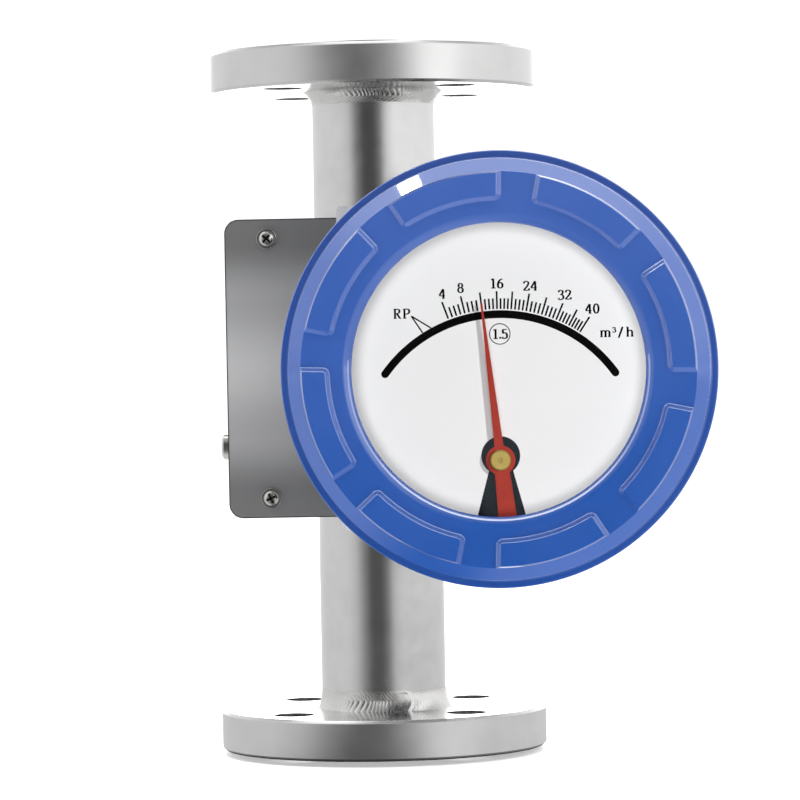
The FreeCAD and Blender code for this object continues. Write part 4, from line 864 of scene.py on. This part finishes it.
def makeDialPrint(size=dialPrint):
    parts = [inkStroke(line * mm, thick * mm, thin * mm, dialFace, size["high"] * mm, closed)
             for line, thick, thin, closed in printStrokes(size)]
    return newPiece("dialSigns", *gathered(parts), "dial_ink", "meter_body")


signPiece = makeDialPrint()
print("dial print made:", len(signPiece.data.polygons), "faces")


studio = {"halfWide": 9, "near": -9, "wallAt": 6, "wallHigh": 6, "bend": 2.5, "bendSteps": 32,
          "paper": {"colour": (0.94, 0.94, 0.94), "rough": (0.9, 0.9), "specular": 0}}


# Paper sweep: level floor, a quarter-round bend and an upright wall, carried across as one sheet.
def makeSweep(size=studio):
    turn = np.linspace(0, math.pi / 2, size["bendSteps"])
    bend = size["wallAt"] - size["bend"] * (1 - np.sin(turn))
    along = np.concatenate([[size["near"]], bend, [size["wallAt"]]])
    rise = np.concatenate([[0], size["bend"] * (1 - np.cos(turn)), [size["wallHigh"]]])
    across = np.array([-size["halfWide"], size["halfWide"]])
    places = np.stack(np.broadcast_arrays(across, along[:, None], rise[:, None]), -1)
    paper = newFinish("sweepPaper", size["paper"])[0]
    mesh = meshOf("studioSweep", places, gridFaces(*places.shape[:2]), paper, smooth=True)
    sweep = putInScene("studioSweep", mesh)
    sweep.visible_glossy = False   # reflections meet the surroundings' tones instead
    sweep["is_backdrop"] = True
    return sweep


# Studio sheet that only the named kinds of ray meet; also gives the tree of its material, to be filled.
def makeGhost(name, places, faces, senses):
    material = bpy.data.materials.new(name + "Look")
    material.use_nodes = True
    ghost = putInScene(name, meshOf(name, places, faces, material))
    for sense in ("camera", "diffuse", "glossy", "shadow", "transmission"):
        setattr(ghost, "visible_" + sense, sense in senses)
    ghost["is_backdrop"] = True
    return ghost, material.node_tree


# Tones of the surroundings: (degrees clockwise from the reader's side, wall, floor). The strip overhead is
# (how far back of straight up, tone). The world shader's own grey of 0.8 multiplies what it shows. "near" is
# the tone round the meter's foot. Reaches are in metres from the pipe's axis, turns in degrees.
surround = {"tones": [(-180, 2.6, 0.6), (-167, 2.4, 0.6), (-156, 0.72, 0.55), (-125, 0.66, 0.52),
                      (-60, 0.6, 0.5), (-45, 0.52, 0.4), (-30, 0.19, 0.2), (-16, 0.06, 0.07), (2, 0.06, 0.07),
                      (14, 0.16, 0.16), (26, 0.62, 0.4), (40, 0.84, 0.45), (60, 0.82, 0.45), (120, 0.8, 0.5),
                      (156, 0.8, 0.55), (167, 2.4, 0.6), (180, 2.6, 0.6)],
            "scale": 1.5, "seen": 1.3, "rise": 1.22, "riseTo": 8, "overhead": 2.4, "overheadFrom": 28,
            "overheadTo": 62, "strip": [(-0.2, 0.6), (-0.09, 2.4), (0.12, 2.4), (0.2, 0.5)],
            "cardReach": 60, "cardUp": 0.4 * mm, "near": 0.03, "nearFrom": 0.0565, "nearTo": 0.0585,
            "farFrom": 1.2, "farTo": 4}


# Tone by the direction's angle from the reader's side, clockwise seen from above; part 1 is wall, 2 is floor.
def toneRound(tree, across, back, part, size):
    azimuth = join(tree, across, join(tree, back, -1, "MULTIPLY"), "ARCTAN2")
    stops = [((tone[0] + 180) / 360, (tone[part],) * 3) for tone in size["tones"]]
    tones = blend(tree, spread(tree, azimuth, 0, 1, -math.pi, math.pi), stops)
    return join(tree, tones, size["scale"], "MULTIPLY")


# One value where the share is 0 and another where it is 1.
def between(tree, share, low, high):
    return addNode(tree, "Mix", {0: share, 2: low, 3: high}).outputs[0]


# Surroundings: pale walls with one dark gap on the camera's side, and a bright ceiling. Reflections meet the
# ceiling as a strip across, and the camera sees one even tone.
def makeSurround(size=surround):
    world = bpy.data.worlds.new("studioSurround")
    bpy.context.scene.world = world
    world.use_nodes = True
    tree = world.node_tree
    tree.nodes.clear()
    toward = addNode(tree, "TexCoord").outputs["Generated"]
    across, back, up = addNode(tree, "SeparateXYZ", {0: toward}).outputs
    walls = toneRound(tree, across, back, 1, size)
    rise = spread(tree, up, 1, size["rise"], 0, math.sin(math.radians(size["riseTo"])))
    walls = join(tree, walls, rise, "MULTIPLY")
    limits = [math.sin(math.radians(size[name])) for name in ("overheadFrom", "overheadTo")]
    lift = addNode(tree, "MapRange", {"Value": up, "From Min": limits[0], "From Max": limits[1]},
                   interpolation_type="SMOOTHSTEP").outputs[0]
    stops = [(far + 0.5, (tone,) * 3) for far, tone in size["strip"]]   # 0.5 is straight up
    strip = blend(tree, spread(tree, back, 0, 1, -0.5, 0.5), stops)
    path = addNode(tree, "LightPath").outputs
    light = between(tree, path["Is Glossy Ray"], between(tree, lift, walls, size["overhead"]),
                    between(tree, lift, walls, strip))
    seen = between(tree, path["Is Camera Ray"], light, size["seen"])
    addNode(tree, "OutputWorld", {0: addNode(tree, "Background", {"Strength": seen}).outputs[0]})


# Card on the floor that only reflections meet: dark round the foot, then the floor's tones, then the walls'.
def makeFloorCard(size=surround):
    ends = np.array([-size["cardReach"], size["cardReach"]])
    places = np.stack(np.broadcast_arrays(ends, ends[:, None], size["cardUp"]), -1)
    tree = makeGhost("floorCard", places, gridFaces(2, 2), ["glossy"])[1]
    tree.nodes.clear()
    point = objectPoint(tree)
    across, back = partOf(tree, point, "X"), partOf(tree, point, "Y")
    reached = reachFrom(tree, point, (1, 1, 0))
    beyond = spread(tree, reached, 0, 1, size["farFrom"], size["farTo"])
    walls, ground = (toneRound(tree, across, back, part, size) for part in (1, 2))
    tone = between(tree, beyond, ground, walls)
    close = spread(tree, reached, 1, 0, size["nearFrom"], size["nearTo"])
    tone = between(tree, close, tone, size["near"] * size["scale"])
    addNode(tree, "OutputMaterial", {0: addNode(tree, "Emission", {"Strength": tone}).outputs[0]})


# In metres and watts. The key panel is the soft light from the right, and the upper left one lights the bevel
# alone. The floor panel keeps the paper white, the dial panel is the dial's front light, and the pointer lamp
# throws the pointer's shadow to the left.
lamps = {
    "keyPanel": {"at": (1.3, -1.15, 0.5), "aim": (0.04, -0.05, 0.12), "size": (0.9, 0.9), "power": 1.5},
    "upperLeftPanel": {"at": (-0.546, 0, 1.36), "aim": (0.04, -0.08, 0.14), "size": (0.07, 0.15),
                       "power": 1.1},
    "floorPanel": {"at": (0.05, -0.1, 1.6), "aim": (0.05, 0, 0), "size": (1.6, 1.6), "power": 26},
    "dialPanel": {"at": (0.03, -1.6, 0.16), "aim": tuple(headAt), "size": (0.8, 0.8), "power": 15.4},
    "pointerLamp": {"at": (0.75, -1.05, 0.24), "aim": tuple(pivotAt), "size": (0.08, 0.08), "power": 8},
}


def addLamp(name, size):
    lamp = bpy.data.lights.new(name, "AREA")
    lamp.shape = "RECTANGLE"
    lamp.size, lamp.size_y = size["size"]
    lamp.energy = size["power"]
    piece = putInScene(name, lamp)
    way = (Vector(size["aim"]) - Vector(size["at"])).to_track_quat("-Z", "Y")
    piece.matrix_world = Matrix.Translation(size["at"]) @ way.to_matrix().to_4x4()
    return piece


def groupOf(name, members):
    group = bpy.data.collections.new(name)
    for member in members:
        group.objects.link(member)
    return group


# Dark disc in the window: it keeps the room's light off the dial, so that only the two dial lamps light it.
dialShade = {"radius": 48.9, "forward": 86.4, "sides": 96}


def makeDialShade(size=dialShade):
    rim = faceOn(headAt, size["radius"] * mm, onceRound(size["sides"]), size["forward"] * mm)
    tree = makeGhost("dialShade", rim, [tuple(range(size["sides"]))], ["diffuse", "shadow"])[1]
    black = tree.nodes["Principled BSDF"].inputs
    black["Base Color"].default_value = (0, 0, 0, 1)
    black["Specular IOR Level"].default_value = 0


# A ring about the head's axis, straight from one (radius, forward) edge to the other, in metres.
def ringSheet(first, last, sides=96):
    radius, forward = np.array([first, last]).T
    return faceOn(headAt, radius, onceRound(sides), forward), gridFaces(sides, 2, loopRows=True)


# Ring inside the window that only the dial's front lamp meets: it gives the dial its soft dark edge.
edgeMask = {"inner": 47.4 * mm, "outer": 60 * mm, "forward": 80 * mm}


def makeEdgeMask(size=edgeMask):
    ring = ringSheet((size["inner"], size["forward"]), (size["outer"], size["forward"]))
    return makeGhost("edgeMask", *ring, ["shadow"])[0]


# Pale ring of light round the cover's axis, met only by the cover's own reflections: it draws the thin light
# lines along the folds of the enamel, brightest from above. Sizes in metres.
halo = {"radius": 1.5, "front": 0.8, "back": 0.28, "tone": 2.6, "top": 7, "topFrom": 0.9, "topTo": 1.4}


def makeHalo(size=halo):
    sheet = ringSheet((size["radius"], size["front"]), (size["radius"], size["back"]))
    ring, tree = makeGhost("halo", *sheet, ["glossy"])
    ring.data.materials[0].cycles.emission_sampling = "NONE"
    tree.nodes.clear()
    up = partOf(tree, objectPoint(tree), "Z")
    strength = spread(tree, up, size["tone"], size["top"], size["topFrom"], size["topTo"])
    glow = addNode(tree, "Emission", {"Strength": strength})
    clear = addNode(tree, "BsdfTransparent")
    both = addNode(tree, "AddShader", {0: glow.outputs[0], 1: clear.outputs[0]})
    addNode(tree, "OutputMaterial", {0: both.outputs[0]})
    ring.light_linking.receiver_collection = groupOf("haloLights", [coverPiece])


floor = makeSweep()
print("paper sweep made")
makeSurround()
makeFloorCard()
makeDialShade()
mask = makeEdgeMask()
makeHalo()
print("surroundings and stage sheets made")

needle = [nodes["pointer"], nodes["pointer_hub"]]
dialSide = needle + [nodes[name] for name in ("dial_plate", "scale_print", "chassis_plate")] + [signPiece]
headFront = needle + [nodes[name] for name in ("housing", "glass_retainer", "glass_gasket")] + [coverPiece]
allButTube = [piece for name, piece in nodes.items() if name != "measuring_tube"]

# What each lamp lights, and what shades it where that isn't everything.
lit = {"keyPanel": allButTube + [coverPiece, floor], "upperLeftPanel": [coverPiece], "floorPanel": [floor],
       "dialPanel": dialSide, "pointerLamp": dialSide}
shading = {"floorPanel": [floor], "dialPanel": headFront + [mask], "pointerLamp": needle}
for name, size in lamps.items():
    lamp = addLamp(name, size)
    lamp.visible_camera = name not in ("dialPanel", "pointerLamp")
    lamp.light_linking.receiver_collection = groupOf(name + "Lights", lit[name])
    if name in shading:
        lamp.light_linking.blocker_collection = groupOf(name + "Shades", shading[name])
for blue in (coverPiece, nodes["housing"]):
    blue.visible_glossy = False   # the bright steel round them shows no blue
bpy.context.scene.view_settings.view_transform = "Standard"

# Place in metres, turns in degrees.
shot = {"at": (0.06591, -1.41638, 0.14544), "yaw": 2.357, "pitch": -0.842, "roll": 1.078, "lens": 179.64,
        "sensor": 36, "near": 0.05, "far": 100}


def addCamera(size=shot):
    optics = bpy.data.cameras.new("shotCamera")
    optics.lens, optics.sensor_width = size["lens"], size["sensor"]
    optics.clip_start, optics.clip_end = size["near"], size["far"]
    camera = putInScene("shotCamera", optics)
    turns = [Matrix.Rotation(math.radians(size[name]), 4, axis)
             for name, axis in (("yaw", "Z"), ("pitch", "X"), ("roll", "Y"))]
    upright = Matrix.Rotation(math.pi / 2, 4, "X")
    camera.matrix_world = Matrix.Translation(size["at"]) @ turns[0] @ turns[1] @ turns[2] @ upright
    bpy.context.scene.camera = camera


addCamera()
print("studio and camera ready")

boxes = {"before": cadBox, "after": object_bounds()}
{name: [list(corner) for corner in box] for name, box in boxes.items()}
